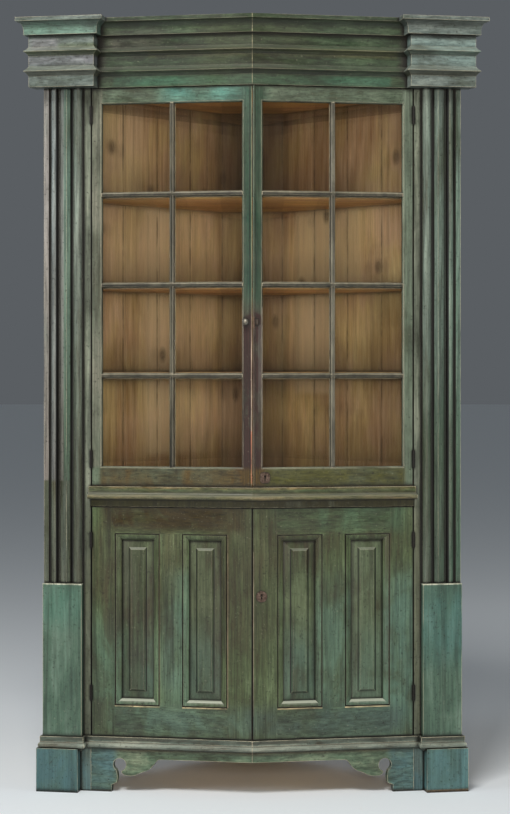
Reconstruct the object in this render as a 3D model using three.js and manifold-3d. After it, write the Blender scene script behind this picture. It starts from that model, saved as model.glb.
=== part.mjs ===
// Corner cupboard with a shallow pointed front: two glazed doors over two panelled doors,
// reeded pilasters on plinths, a broken-out cornice and scroll-cut bracket feet.
// Millimetres, +Z up. The front faces -Y and the case fits a square room corner behind.
// Each half of the front is drawn in its own plane: s runs outwards from the middle line,
// t runs back from the face of the doors, z is the height.

import * as THREE from 'three';
import { mergeVertices } from 'three/addons/utils/BufferGeometryUtils.js';
import Module from 'manifold-3d';

const wasm = await Module();
wasm.setup();

// Driving dimensions

const cantDegrees = 10.3;
const caseTop = 2235;
const corniceHeight = 198;
const frontBoard = 22;
const backBoard = 18;
const shelfBoard = 20;
const doorThickness = 24;
const openingHalfFront = 476;
const rearHalfWidth = 104.5;
const cornerRoom = 7;

const seat = 0.3;
const doorGap = 3;
const meetingGap = 1;
const doorSlack = 2;
const overrun = 5;
const boardGroove = 3.6;
const wallBoardWidth = 139;
const rearmostBoardWidth = 125;

const ceilingDrop = 9;
const wallTopDrop = 15;
const upperDoorBottom = 886;
const waistMouldingHeight = 36;
const waistMouldingLap = 4;
const waistRailHeight = 58;
const plinthTop = 602;
const baseMouldingTop = 160;
const baseMouldingHeight = 34;
const bottomBoardDrop = 8;
const wallSkirt = 22;
const shelfSetback = 10;
const lowerShelfHeight = 500;

const stileStrip = 21;
const edgeStrip = 15;
const pilasterRelief = 18;
const plinthRelief = 26;
const footRelief = 36;
const footInset = 9;
const footOverhang = 17;

const corniceRunRelief = 6;
const corniceBlockRelief = 58;
const blockInnerOverhang = 44;
const blockOuterOverhang = 33;

const glassThickness = 2.5;
const glassDepth = 11;
const glassRebate = 8;
const lightColumns = 2;
const lightRows = 4;
const upperHingeStile = 31;
const upperMeetingStile = 30;
const upperTopRail = 46;
const upperBottomRail = 56;
const barFace = 5;
const barWidth = 14;
const ovoloDepth = 6.5;
const ovoloSteps = 4;
const nibDepth = 0.6;
const meetingBead = 3.5;
const beadRise = 0.8;
const beadSteps = 6;

const lowerHingeStile = 69;
const lowerMeetingStile = 72;
const lowerMuntin = 67;
const lowerTopRail = 76;
const lowerBottomRail = 89;
const stuckMoulding = 19;
const stuckDepth = 9.5;
const stuckStep = 1;
const stuckQuirk = 3;
const stuckQuirkFloor = 1.4;
const stuckQuirkDepth = 5.5;
const stuckSteps = 5;
const panelMargin = 21;
const panelTongue = 9;
const panelGroove = 5;
const panelGrooveDepth = 11.5;
const panelFieldRise = 8;
const panelFieldStep = 5;
const panelBevel = 7;
const panelPlay = 0.6;

const hingeLeaf = 0.8;
const hingeKnuckle = 3.3;
const hingePin = 1.6;
const hingePlay = 0.35;
const hingeLeafDepth = 18;
const hingeSides = 12;
const upperHingeLength = 52;
const lowerHingeLength = 46;
const upperHingeFromEnd = 76;
const lowerHingeFromBottom = 123;
const lowerHingeFromTop = 96;

const latchHeight = 1358;
const latchInset = 18;
const knobRadius = 9.5;
const knobLength = 17;
const spindleRadius = 3;
const spindlePlay = 0.4;
const camLength = 34;
const camWidth = 11;
const camThickness = 3;
const camSetback = 9.5;
const roseRadius = 7;
const roseThickness = 2;
const neckRadius = 4;
const turnedSides = 24;
const ballSteps = 8;
const ballFlatness = 0.8;
const keeperWidth = 10;
const keeperHeight = 15;
const keeperThickness = 6;

const upperLockRise = 26;
const upperLockInset = 37;
const lowerLockHeight = 572;
const lowerLockInset = 27;
const boltThrow = 9;
const boltThickness = 4;
const boltHeight = 14;
const boltPlay = 0.5;
const boltBack = 6;
const boltRecess = 1;
const boltDepth = 10;
const strikePlay = 4;
const keyholeRound = 3;
const keyholeSlot = 2.4;
const keyholeDrop = 9;
const keyholeSides = 12;
const escutcheonThickness = 1.4;
const escutcheonClip = 5.6;
const upperEscutcheonWidth = 28;
const upperEscutcheonHeight = 30;
const lowerEscutcheonRadius = 16;

// Profiles of the mouldings

const corniceReach = 31.5;
const topFillet = 11;
const coveDrop = 36;
const coveFillet = 13;
const coveStart = 12;
const coveSteps = 8;
const upperRidgeDrop = 96;
const lowerRidgeDrop = 153;
const upperRidgeHalf = 13;
const lowerRidgeHalf = 14;
const ridgeReach = 12;
const ridgeLip = 0.8;
const ridgeHollowShare = 0.4;
const corniceReturnEnd = 28;
const waistReach = 28;
const waistNose = 14;
const waistFillet = 8;
const waistFilletReach = 9;
const noseSteps = 6;
const baseReach = 12;
const baseBand = 18;
const baseFilletReach = 7;

// Reeds of the pilaster, from its inner edge outwards

const innerReed = 25;
const broadReed = 34;
const broadReedArris = 13;
const outerReed = 21;
const quirkWidth = 6;
const reedDepth = 12;
const reedSteps = 10;

// Apron outline, from the middle line out to the foot

const prowGap = 0.3;
const apronThickness = 20;
const apronSteps = 10;
const apronRailBottom = 97;
const apronFootWidth = 62;
const scrollLength = 90;
const scrollLobeBottom = 47;
const eyeToLobe = 31;
const eyeToFoot = 24;
const scrollEyeHeight = 78.6;
const scrollEyeRadius = 19;
const footBumpReach = 17;
const footBumpTop = 58;
const footBumpBottom = 26;
const eyeLeftDegrees = -105;
const eyeRightDegrees = -58;

// Control points of the lobe, outwards over its run and down over its drop
const lobeShares = [[0.22, 0], [0.18, 0.5], [0.47, 0.68], [0.7, 0.8], [0.8, 1], [1, 1]];
// Reach of the bump on the foot, where its top and foot curves turn, and the rise of the heel
const bumpReachShare = 0.9;
const bumpTopShare = 0.6;
const bumpFootShare = 0.3;
const heelShares = [0.9, 0.8];

// Colours

const paintGrey = 0x7d8578;
const paintTeal = 0x5c8a72;
const paintOlive = 0x66694f;
const paintBlue = 0x4a6f72;
const pineWood = 0x8a6a48;
const agedIron = 0x3a3430;
const pewter = 0x9a978c;
const wornCopper = 0x9a6f5c;
const windowGlass = 0xbfd0cc;

// Sizes worked out from the driving ones

const pilasterStart = openingHalfFront + stileStrip;
const quirksWidth = quirkWidth / 2 + quirkWidth * 3;
const reedsWidth = innerReed + broadReed + outerReed + quirksWidth;
const caseHalfFront = pilasterStart + reedsWidth + edgeStrip;
const footStart = pilasterStart + footInset;
const footEnd = caseHalfFront + footOverhang;
const corniceBlockStart = pilasterStart - blockInnerOverhang;
const corniceBlockEnd = caseHalfFront + blockOuterOverhang;
const apronFootEdge = openingHalfFront - apronFootWidth;
const scrollEye = apronFootEdge - eyeToFoot;
const scrollLobe = scrollEye - eyeToLobe;
const scrollStart = scrollLobe - scrollLength;
const footBump = apronFootEdge - footBumpReach;

const corniceBottom = caseTop - corniceHeight;
const ceilingHeight = corniceBottom - ceilingDrop;
const coveBottom = caseTop - coveDrop;
const doorHead = corniceBottom - doorSlack;
const waistTop = upperDoorBottom - doorSlack;
const waistMouldingBottom = waistTop - waistMouldingHeight;
const lowerDoorTop = waistTop - waistRailHeight - doorSlack;
const lowerDoorBottom = baseMouldingTop + doorSlack;
const baseMouldingBottom = baseMouldingTop - baseMouldingHeight;
const bottomBoardTop = baseMouldingTop - bottomBoardDrop;
const wallBottom = bottomBoardTop - shelfBoard - wallSkirt;
const upperLockHeight = upperDoorBottom + upperLockRise;
const upperHingeHeights = [upperDoorBottom + upperHingeFromEnd, doorHead - upperHingeFromEnd];
const lowerHingeHeights = [lowerDoorBottom + lowerHingeFromBottom, lowerDoorTop - lowerHingeFromTop];

// Geometry helpers

const cant = THREE.MathUtils.degToRad(cantDegrees);
const corner = Math.PI / 4;

function toSolid(geometry) {
  const bare = geometry.clone();
  bare.deleteAttribute('normal');
  bare.deleteAttribute('uv');
  const merged = mergeVertices(bare, 1e-4);
  return new wasm.Manifold(new wasm.Mesh({
    numProp: 3,
    vertProperties: new Float32Array(merged.attributes.position.array),
    triVerts: new Uint32Array(merged.index.array),
  }));
}

function toGeometry(solid) {
  const mesh = solid.getMesh();
  const geometry = new THREE.BufferGeometry();
  geometry.setAttribute('position', new THREE.BufferAttribute(new Float32Array(mesh.vertProperties), 3));
  geometry.setIndex(Array.from(mesh.triVerts));
  const flat = geometry.toNonIndexed();
  flat.computeVertexNormals();
  return flat;
}

// A plan outline, a list of [x, y], raised from one height to another
function upright(outline, low, high) {
  const shape = new THREE.Shape(outline.map(([x, y]) => new THREE.Vector2(x, y)));
  const geometry = new THREE.ExtrudeGeometry(shape, { depth: high - low, bevelEnabled: false });
  geometry.translate(0, 0, low);
  return geometry;
}

// A face outline in s and z, cut through a board from one depth to another
function facing(shape, front, back, curveSegments) {
  const depth = back - front;
  const geometry = new THREE.ExtrudeGeometry(shape, { depth, bevelEnabled: false, curveSegments });
  geometry.rotateX(Math.PI / 2);
  geometry.translate(0, back, 0);
  return geometry;
}

function block(low, high) {
  const outline = [[low[0], low[1]], [high[0], low[1]], [high[0], high[1]], [low[0], high[1]]];
  return upright(outline, low[2], high[2]);
}

// Turns a closed skin inside out when its faces point inwards
function facingOut(positions, index) {
  const corners = [new THREE.Vector3(), new THREE.Vector3(), new THREE.Vector3()];
  let volume = 0;
  for (let at = 0; at < index.length; at += 3) {
    corners.forEach((corner, turn) => corner.fromArray(positions, index[at + turn] * 3));
    volume += corners[0].dot(corners[1].clone().cross(corners[2]));
  }
  return volume < 0 ? index.slice().reverse() : index;
}

// Rings of points joined in order into one closed skin with flat ends
function skin(rings, capTriangles) {
  const count = rings[0].length;
  const index = [];
  for (let ring = 0; ring < rings.length - 1; ring += 1) {
    for (let point = 0; point < count; point += 1) {
      const next = (point + 1) % count;
      const here = ring * count;
      const there = here + count;
      index.push(here + point, here + next, there + point);
      index.push(here + next, there + next, there + point);
    }
  }
  const last = (rings.length - 1) * count;
  for (const [a, b, c] of capTriangles) {
    index.push(a, c, b);
    index.push(last + a, last + b, last + c);
  }
  const positions = rings.flat(2);
  const geometry = new THREE.BufferGeometry();
  geometry.setAttribute('position', new THREE.Float32BufferAttribute(positions, 3));
  geometry.setIndex(facingOut(positions, index));
  const flat = geometry.toNonIndexed();
  flat.computeVertexNormals();
  return flat;
}

// Rectangles that change size with depth: [depth, half width, half height] about a middle
function steppedRectangle(middleS, middleZ, levels) {
  const rings = levels.map(([depth, halfWidth, halfHeight]) => [
    [middleS - halfWidth, depth, middleZ - halfHeight],
    [middleS - halfWidth, depth, middleZ + halfHeight],
    [middleS + halfWidth, depth, middleZ + halfHeight],
    [middleS + halfWidth, depth, middleZ - halfHeight],
  ]);
  return skin(rings, [[0, 1, 2], [0, 2, 3]]);
}

// From a half's own plane to the plan of the whole cupboard
function inPlan([s, t]) {
  return [s * Math.cos(cant) - t * Math.sin(cant), s * Math.sin(cant) + t * Math.cos(cant)];
}

function mirrored([x, y]) {
  return [-x, y];
}

// Where two plan lines meet, each given by a point and a direction
function meeting([px, py], [dx, dy], [qx, qy], [ex, ey]) {
  const along = ((qx - px) * ey - (qy - py) * ex) / (dx * ey - dy * ex);
  return [px + dx * along, py + dy * along];
}

const cantLine = [Math.cos(cant), Math.sin(cant)];
const wallLine = [-Math.cos(corner), Math.sin(corner)];
const wallOut = [Math.sin(corner), Math.cos(corner)];
const rearLine = [1, 0];

// The outer face of the right-hand back boards passes through the rear corner of the stile
const stileRear = inPlan([caseHalfFront, frontBoard]);
const wallReach = (stileRear[0] + stileRear[1]) + cornerRoom;
const caseDepth = wallReach - rearHalfWidth;

function wallPoint(inset) {
  return [wallReach / 2 - wallOut[0] * inset, wallReach / 2 - wallOut[1] * inset];
}

function frontPoint(depth) {
  return inPlan([0, depth]);
}

const wallAndFront = (inset, depth) => meeting(wallPoint(inset), wallLine, frontPoint(depth), cantLine);
const wallAndRear = (inset, y) => meeting(wallPoint(inset), wallLine, [0, y], rearLine);
const prow = (depth) => [0, depth / Math.cos(cant)];

// Plan of a board that fills the case from a depth behind the doors to the back boards
function casePlan(frontDepth, inset) {
  const right = [
    wallAndFront(backBoard + inset, frontDepth),
    wallAndRear(backBoard + inset, caseDepth - backBoard - inset),
  ];
  return [prow(frontDepth), right[0], right[1], mirrored(right[1]), mirrored(right[0])];
}

// Moulding runs: a profile of [out, height] carried along a plan line with mitred corners
function mitres(path) {
  return path.map((point, at) => {
    const before = at > 0 ? path[at - 1] : point;
    const after = at < path.length - 1 ? path[at + 1] : point;
    const lineIn = new THREE.Vector2(point[0] - before[0], point[1] - before[1]).normalize();
    const lineOut = new THREE.Vector2(after[0] - point[0], after[1] - point[1]).normalize();
    const outIn = at > 0 ? new THREE.Vector2(lineIn.y, -lineIn.x) : new THREE.Vector2(lineOut.y, -lineOut.x);
    const outOut = at < path.length - 1 ? new THREE.Vector2(lineOut.y, -lineOut.x) : outIn;
    const mid = outIn.clone().add(outOut).normalize();
    return mid.multiplyScalar(1 / mid.dot(outIn));
  });
}

function mouldingRun(profile, path, first, last, startGap, endGap) {
  const turns = mitres(path);
  const rings = [];
  for (let at = first; at <= last; at += 1) {
    const shift = new THREE.Vector2(0, 0);
    if (at === first && startGap > 0) {
      shift.set(path[at + 1][0] - path[at][0], path[at + 1][1] - path[at][1]).setLength(startGap);
    }
    if (at === last && endGap > 0) {
      shift.set(path[at - 1][0] - path[at][0], path[at - 1][1] - path[at][1]).setLength(endGap);
    }
    rings.push(profile.map(([out, height]) => [
      path[at][0] + turns[at].x * out + shift.x,
      path[at][1] + turns[at].y * out + shift.y,
      height,
    ]));
  }
  const contour = profile.map(([out, height]) => new THREE.Vector2(out, height));
  return skin(rings, THREE.ShapeUtils.triangulateShape(contour, []));
}

// Points of an arc between two angles in degrees, about a centre
function arc([centreX, centreY], radiusX, radiusY, fromDegrees, toDegrees, steps) {
  return Array.from({ length: steps + 1 }, (_, step) => {
    const angle = THREE.MathUtils.degToRad(fromDegrees + (toDegrees - fromDegrees) * (step / steps));
    return [centreX + radiusX * Math.cos(angle), centreY + radiusY * Math.sin(angle)];
  });
}

// Cuts a piece of the right half back to the middle line, leaving a gap to its neighbour
function middleCut(gap, low, high) {
  const reach = frontBoard + corniceBlockRelief;
  const edge = (t) => [(gap + t * Math.sin(cant)) / Math.cos(cant), t];
  const outline = [edge(-reach), edge(reach), [-openingHalfFront, reach], [-openingHalfFront, -reach]];
  return toSolid(upright(outline, low - overrun, high + overrun));
}

// Everything in front of the case is scribed to the two room walls
function insideCorner(geometry) {
  const reach = caseDepth + caseHalfFront;
  const room = [[0, wallReach + cornerRoom], [-reach, wallReach + cornerRoom - reach], [-reach, -reach],
    [reach, -reach], [reach, wallReach + cornerRoom - reach]].reverse();
  const clipped = toSolid(geometry).intersect(toSolid(upright(room, -overrun, caseTop + overrun)));
  return toGeometry(clipped);
}

// Sizes that several pieces share

const doorEdge = openingHalfFront - doorGap;
const meetingEdge = meetingGap / Math.cos(cant);
const sightTop = doorHead - upperTopRail;
const sightBottom = upperDoorBottom + upperBottomRail;
const sightStart = meetingEdge + upperMeetingStile;
const sightEnd = doorEdge - upperHingeStile;
const lightPitch = (sightTop - sightBottom) / lightRows;

// Model and its three frames

const cupboard = new THREE.Group();
const rightHalf = new THREE.Group();
const leftHalf = new THREE.Group();
const leftMirror = new THREE.Group();
rightHalf.rotation.z = cant;
leftHalf.rotation.z = cant;
leftMirror.scale.x = -1;
leftMirror.add(leftHalf);
cupboard.add(rightHalf, leftMirror);

const halves = [['left', leftHalf], ['right', rightHalf]];

function material(color, roughness, metalness) {
  return new THREE.MeshStandardMaterial({ color, roughness, metalness });
}

const finishes = {
  paintGrey: material(paintGrey, 0.7, 0),
  paintTeal: material(paintTeal, 0.7, 0),
  paintOlive: material(paintOlive, 0.7, 0),
  paintBlue: material(paintBlue, 0.7, 0),
  pineWood: material(pineWood, 0.75, 0),
  agedIron: material(agedIron, 0.6, 0.8),
  pewter: material(pewter, 0.4, 0.9),
  wornCopper: material(wornCopper, 0.5, 0.8),
  windowGlass: new THREE.MeshStandardMaterial({
    color: windowGlass, roughness: 0.08, metalness: 0, transparent: true, opacity: 0.35,
  }),
};

function place(name, geometry, finish, parent = cupboard) {
  const mesh = new THREE.Mesh(geometry, finishes[finish]);
  mesh.name = name;
  parent.add(mesh);
  return mesh;
}

// Back boards: each wall is a row of upright pine boards with a groove at each joint

function wallBoards() {
  const rearFace = caseDepth - backBoard - seat;
  const outerFront = wallAndFront(0, frontBoard + seat);
  const outerRear = wallAndRear(0, rearFace);
  const innerFront = wallAndFront(backBoard, frontBoard + seat);
  const innerRear = wallAndRear(backBoard, rearFace);
  const outline = [outerFront, outerRear, innerRear];
  const run = [innerFront[0] - innerRear[0], innerFront[1] - innerRear[1]];
  const length = Math.hypot(run[0], run[1]);
  const unit = [run[0] / length, run[1] / length];
  for (let along = rearmostBoardWidth; along < length - wallBoardWidth / 2; along += wallBoardWidth) {
    const sides = [[along - boardGroove / 2, 0], [along, boardGroove / 2], [along + boardGroove / 2, 0]];
    for (const [reach, cut] of sides) {
      outline.push([
        innerRear[0] + unit[0] * reach + wallOut[0] * cut,
        innerRear[1] + unit[1] * reach + wallOut[1] * cut,
      ]);
    }
  }
  outline.push(innerFront);
  return outline;
}

const wallOutline = wallBoards();
const wallTop = caseTop - wallTopDrop;
place('right_back_boards', upright(wallOutline, wallBottom, wallTop), 'pineWood');
place('left_back_boards', upright(wallOutline.map(mirrored).reverse(), wallBottom, wallTop), 'pineWood');

const rearOuter = wallAndRear(0, caseDepth);
const rearInner = wallAndRear(0, caseDepth - backBoard);
place('rear_board', upright([rearOuter, mirrored(rearOuter), mirrored(rearInner), rearInner], 0, wallTop),
  'pineWood');

// Level boards: ceiling, shelves, deck and bottom

function levelBoard(name, top, thickness, frontDepth) {
  place(name, upright(casePlan(frontDepth, seat), top - thickness, top), 'pineWood');
}

const behindDoors = doorThickness + shelfSetback;
levelBoard('ceiling_board', ceilingHeight + shelfBoard, shelfBoard, behindDoors - shelfSetback / 2);
for (let row = 1; row < lightRows; row += 1) {
  const height = sightTop - lightPitch * row;
  levelBoard(`upper_shelf_${row}`, height + shelfBoard / 2, shelfBoard, behindDoors);
}
levelBoard('lower_shelf', lowerShelfHeight, shelfBoard, behindDoors);
levelBoard('deck_board', waistTop, shelfBoard, frontBoard + seat);
levelBoard('bottom_board', bottomBoardTop, shelfBoard, frontBoard + seat);

// Face frame: stiles, head rail and waist rail

for (const [side, half] of halves) {
  place(`${side}_stile`, block([openingHalfFront, 0, 0], [caseHalfFront, frontBoard, caseTop - wallTopDrop]),
    'paintGrey', half);
}

// A rail right across the pointed front, mitred at the middle line
function crossRail(name, low, high) {
  const end = openingHalfFront - seat;
  const right = [inPlan([end, 0]), inPlan([end, frontBoard])];
  const outline = [prow(0), right[0], right[1], prow(frontBoard), mirrored(right[1]), mirrored(right[0])];
  place(name, upright(outline, low, high), 'paintGrey');
}

crossRail('head_rail', corniceBottom, caseTop - wallTopDrop);
crossRail('waist_rail', waistTop - waistRailHeight, waistTop);

// Apron boards: thin rail with a scroll, a drilled eye and a bumped foot edge

function apronOutline() {
  const top = baseMouldingTop;
  const dip = apronRailBottom - scrollLobeBottom;
  const run = scrollLobe - scrollStart;
  const shape = new THREE.Shape();
  const eyeLeft = THREE.MathUtils.degToRad(eyeLeftDegrees);
  const eyeRight = THREE.MathUtils.degToRad(eyeRightDegrees);
  const eyePoint = (angle) => [
    scrollEye + scrollEyeRadius * Math.cos(angle),
    scrollEyeHeight + scrollEyeRadius * Math.sin(angle),
  ];
  shape.moveTo(0, top);
  shape.lineTo(0, apronRailBottom);
  shape.lineTo(scrollStart, apronRailBottom);
  const lobe = lobeShares.map(([out, down]) => [scrollStart + run * out, apronRailBottom - dip * down]);
  shape.bezierCurveTo(...lobe.slice(0, lobe.length / 2).flat());
  shape.bezierCurveTo(...lobe.slice(lobe.length / 2).flat());
  const [leftS, leftZ] = eyePoint(eyeLeft);
  const [rightS, rightZ] = eyePoint(eyeRight);
  shape.quadraticCurveTo(leftS, scrollLobeBottom, leftS, leftZ);
  shape.absarc(scrollEye, scrollEyeHeight, scrollEyeRadius, eyeLeft, eyeRight, true);
  const bumpMiddle = (footBumpTop + footBumpBottom) / 2;
  const bumpReach = (rightS - footBump) * bumpReachShare;
  const [heelTop, heelEnd] = heelShares.map((share) => footBumpBottom * share);
  shape.quadraticCurveTo(rightS, footBumpTop, rightS - bumpReach * bumpTopShare, footBumpTop);
  const bumpFoot = rightS - bumpReach * bumpFootShare;
  shape.quadraticCurveTo(footBump - bumpReach, bumpMiddle, bumpFoot, footBumpBottom);
  shape.quadraticCurveTo((rightS + apronFootEdge) / 2, heelTop, apronFootEdge, heelEnd);
  shape.lineTo(apronFootEdge, 0);
  shape.lineTo(openingHalfFront - seat, 0);
  shape.lineTo(openingHalfFront - seat, top);
  shape.closePath();
  return shape;
}

for (const [side, half] of halves) {
  const board = toSolid(facing(apronOutline(), 0, apronThickness, apronSteps));
  place(`${side}_apron`, toGeometry(board.subtract(middleCut(prowGap, 0, caseTop))), 'paintOlive', half);
}

// Pilasters: a board worked into a round reed, a broad one with an arris, and a round one, between quirks

function pilasterOutline() {
  const face = -pilasterRelief;
  const low = -pilasterRelief + reedDepth;
  const points = [[pilasterStart, -seat], [pilasterStart, low]];
  const rise = low - face;
  const innerStart = pilasterStart + quirkWidth / 2;
  const broadStart = innerStart + innerReed + quirkWidth;
  const outerStart = broadStart + broadReed + quirkWidth;
  const stripStart = caseHalfFront - edgeStrip;
  const arris = [broadStart + broadReedArris, low];
  points.push(...arc([innerStart + innerReed / 2, low], innerReed / 2, rise, 180, 360, reedSteps));
  points.push([broadStart, low], ...arc(arris, broadReed - broadReedArris, rise, 270, 360, reedSteps / 2));
  points.push(...arc([outerStart + outerReed / 2, low], outerReed / 2, rise, 180, 360, reedSteps));
  points.push([stripStart, low], [stripStart, face + rise / 2], [caseHalfFront, face + rise / 2]);
  points.push([caseHalfFront, -seat]);
  return points;
}

for (const [side, half] of halves) {
  const board = upright(pilasterOutline(), plinthTop + seat, corniceBottom - seat);
  place(`${side}_pilaster`, board, 'paintGrey', half);
}

// Pedestals: the plinth block, its foot block and the core that the base moulding wraps

for (const [side, half] of halves) {
  const plinth = toSolid(block([pilasterStart, -plinthRelief, baseMouldingBottom - overrun],
    [caseHalfFront, -seat, plinthTop]));
  const foot = toSolid(block([footStart, -footRelief, 0], [footEnd, -seat, baseMouldingBottom - seat]));
  place(`${side}_pedestal`, toGeometry(plinth.add(foot)), 'paintTeal', half);
}

// Mouldings: every run is one profile carried round the front and mitred at each corner

// The right half of a run from the prow outwards, joined to its mirror image
function wholePath(rightPoints) {
  const right = rightPoints.map(inPlan);
  return [...right.slice(1).map(mirrored).reverse(), [0, right[0][1] / Math.cos(cant)], ...right.slice(1)];
}

function corniceProfile() {
  const top = caseTop;
  const back = -corniceRunRelief + seat;
  const coveRise = top - topFillet - coveBottom;
  const waist = ridgeReach * ridgeHollowShare;
  const ridge = (middle, half) => [
    [0, middle - half], [waist, middle - half / 2], [ridgeReach, middle - ridgeLip],
    [ridgeReach, middle + ridgeLip], [waist, middle + half / 2], [0, middle + half],
  ];
  return [
    [back, corniceBottom], [0, corniceBottom],
    ...ridge(top - lowerRidgeDrop, lowerRidgeHalf),
    ...ridge(top - upperRidgeDrop, upperRidgeHalf),
    [0, coveBottom - coveFillet], [coveStart, coveBottom - coveFillet], [coveStart, coveBottom],
    ...arc([corniceReach, coveBottom], corniceReach - coveStart, coveRise, 180, 90, coveSteps).slice(1),
    [corniceReach, top], [back, top],
  ];
}

const cornicePath = wholePath([
  [0, -corniceRunRelief],
  [corniceBlockStart, -corniceRunRelief],
  [corniceBlockStart, -corniceBlockRelief],
  [corniceBlockEnd, -corniceBlockRelief],
  [corniceBlockEnd, -corniceReturnEnd],
]);
const cornice = corniceProfile();
const corniceEnd = cornicePath.length - 1;
const pointsPerBlock = 3;
const runStart = pointsPerBlock;
const runEnd = corniceEnd - pointsPerBlock;
place('cornice_run', mouldingRun(cornice, cornicePath, runStart, runEnd, seat, seat), 'paintGrey');

// The core behind a broken-out block, which the moulding is planted on
function blockCore() {
  const inner = corniceBlockStart + corniceRunRelief - seat;
  const outer = corniceBlockEnd - overrun;
  const front = -corniceBlockRelief + corniceRunRelief - overrun;
  const outline = [[inner, front], [outer, front], [outer, -seat], [inner, -seat]];
  return toSolid(upright(outline.map(inPlan), corniceBottom, caseTop - wallTopDrop));
}

const blockMoulding = toSolid(mouldingRun(cornice, cornicePath, runEnd, corniceEnd, seat, 0));
const corniceBlock = insideCorner(toGeometry(blockMoulding.add(blockCore())));
const leftBlock = corniceBlock.clone();
place('right_cornice_block', corniceBlock, 'paintGrey');
const leftBlockHolder = new THREE.Group();
leftBlockHolder.scale.x = -1;
cupboard.add(leftBlockHolder);
place('left_cornice_block', leftBlock, 'paintGrey', leftBlockHolder);

function waistProfile() {
  const low = waistMouldingBottom;
  const top = waistTop;
  const round = waistNose / 2;
  const hollowStart = waistReach - waistNose;
  const hollowTop = top - waistFillet;
  const nose = arc([waistReach - round, low + round], round, round, -90, 90, noseSteps);
  const hollow = arc([hollowStart, hollowTop], hollowStart - waistFilletReach, hollowTop - low - waistNose,
    270, 180, noseSteps);
  return [
    [seat, low], ...nose, [hollowStart, low + waistNose], ...hollow.slice(1), [waistFilletReach, top],
    [seat, top],
  ];
}

// The waist moulding is sawn square on the stiles, short of the pilasters
const waistPath = wholePath([[0, 0], [openingHalfFront + waistMouldingLap, 0]]);
place('waist_moulding', mouldingRun(waistProfile(), waistPath, 0, waistPath.length - 1, 0, 0), 'paintGrey');

function baseProfile() {
  const low = baseMouldingBottom;
  const top = baseMouldingTop;
  const round = baseBand / 2;
  const band = arc([baseReach - round, low + round], round, round, -90, 90, noseSteps);
  return [
    [seat, low], ...band, [baseFilletReach, low + baseBand + seat], [baseFilletReach, top], [seat, top],
  ];
}

const basePath = wholePath([
  [0, 0],
  [pilasterStart, 0],
  [pilasterStart, -plinthRelief],
  [caseHalfFront, -plinthRelief],
  [caseHalfFront, -seat],
]);
const baseMiddle = (basePath.length - 1) / 2;
const baseLast = basePath.length - 1;
const base = baseProfile();
place('right_base_moulding', mouldingRun(base, basePath, baseMiddle, baseLast, prowGap, 0), 'paintOlive');
place('left_base_moulding', mouldingRun(base, basePath, 0, baseMiddle, 0, prowGap), 'paintOlive');

// Upper doors: moulded frame rebated for glass, a grid of sash bars and the glazing

const sightMiddle = (sightStart + sightEnd) / 2;
const sightLevel = (sightTop + sightBottom) / 2;
const halfSightWidth = (sightEnd - sightStart) / 2;
const halfSightHeight = (sightTop - sightBottom) / 2;
const ovoloWidth = (barWidth - barFace) / 2;

// Depth and widening of the small ovolo round the lights, from the face inwards
const ovolo = arc([ovoloDepth + nibDepth, ovoloWidth], ovoloDepth, ovoloWidth, 180, 270, ovoloSteps);

function doorSlab(low, high) {
  const slab = toSolid(block([0, 0, low], [doorEdge, doorThickness, high]));
  return slab.subtract(middleCut(meetingGap, low, high));
}

function sightLevels(gap, front, back) {
  return [
    [front, halfSightWidth + ovoloWidth - gap, halfSightHeight + ovoloWidth - gap],
    ...ovolo.map(([depth, more]) => [depth, halfSightWidth + more - gap, halfSightHeight + more - gap]),
    [back, halfSightWidth - gap, halfSightHeight - gap],
  ];
}

function upperFrame() {
  const sight = steppedRectangle(sightMiddle, sightLevel, sightLevels(0, -overrun, doorThickness));
  const rebate = steppedRectangle(sightMiddle, sightLevel, [
    [glassDepth, halfSightWidth + glassRebate, halfSightHeight + glassRebate],
    [doorThickness + overrun, halfSightWidth + glassRebate, halfSightHeight + glassRebate],
  ]);
  return doorSlab(upperDoorBottom, doorHead).subtract(toSolid(sight)).subtract(toSolid(rebate));
}

// Section of a sash bar: a narrow nib in front that swells in two ovolos to the full width
function barSection() {
  const side = ovolo.map(([depth, more]) => [barFace / 2 + ovoloWidth - more, depth]);
  const back = [barWidth / 2, glassDepth - seat];
  const flip = ([across, depth]) => [-across, depth];
  return [...side, back, flip(back), ...side.map(flip).reverse()];
}

function sashBars() {
  const section = barSection();
  const height = sightTop - sightBottom + overrun;
  const width = sightEnd - sightStart + overrun;
  const along = (length) => upright(section, -length / 2, length / 2);
  let bars = null;
  const add = (geometry) => {
    bars = bars ? bars.add(toSolid(geometry)) : toSolid(geometry);
  };
  for (let column = 1; column < lightColumns; column += 1) {
    const middle = sightStart + ((sightEnd - sightStart) * column) / lightColumns;
    add(along(height).translate(middle, 0, sightLevel));
  }
  for (let row = 1; row < lightRows; row += 1) {
    add(along(width).rotateY(Math.PI / 2).translate(sightMiddle, 0, sightTop - lightPitch * row));
  }
  const coping = steppedRectangle(sightMiddle, sightLevel, sightLevels(seat, -seat, glassDepth));
  return toGeometry(bars.intersect(toSolid(coping)));
}

const upperBars = sashBars();
const glazingHalfWidth = halfSightWidth + glassRebate - seat * 2;
const glazingHalfHeight = halfSightHeight + glassRebate - seat * 2;
const glazing = steppedRectangle(sightMiddle, sightLevel, [
  [glassDepth + seat, glazingHalfWidth, glazingHalfHeight],
  [glassDepth + seat + glassThickness, glazingHalfWidth, glazingHalfHeight],
]);

// Lower doors: framed with a muntin, stuck mouldings and two raised and fielded panels

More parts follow.
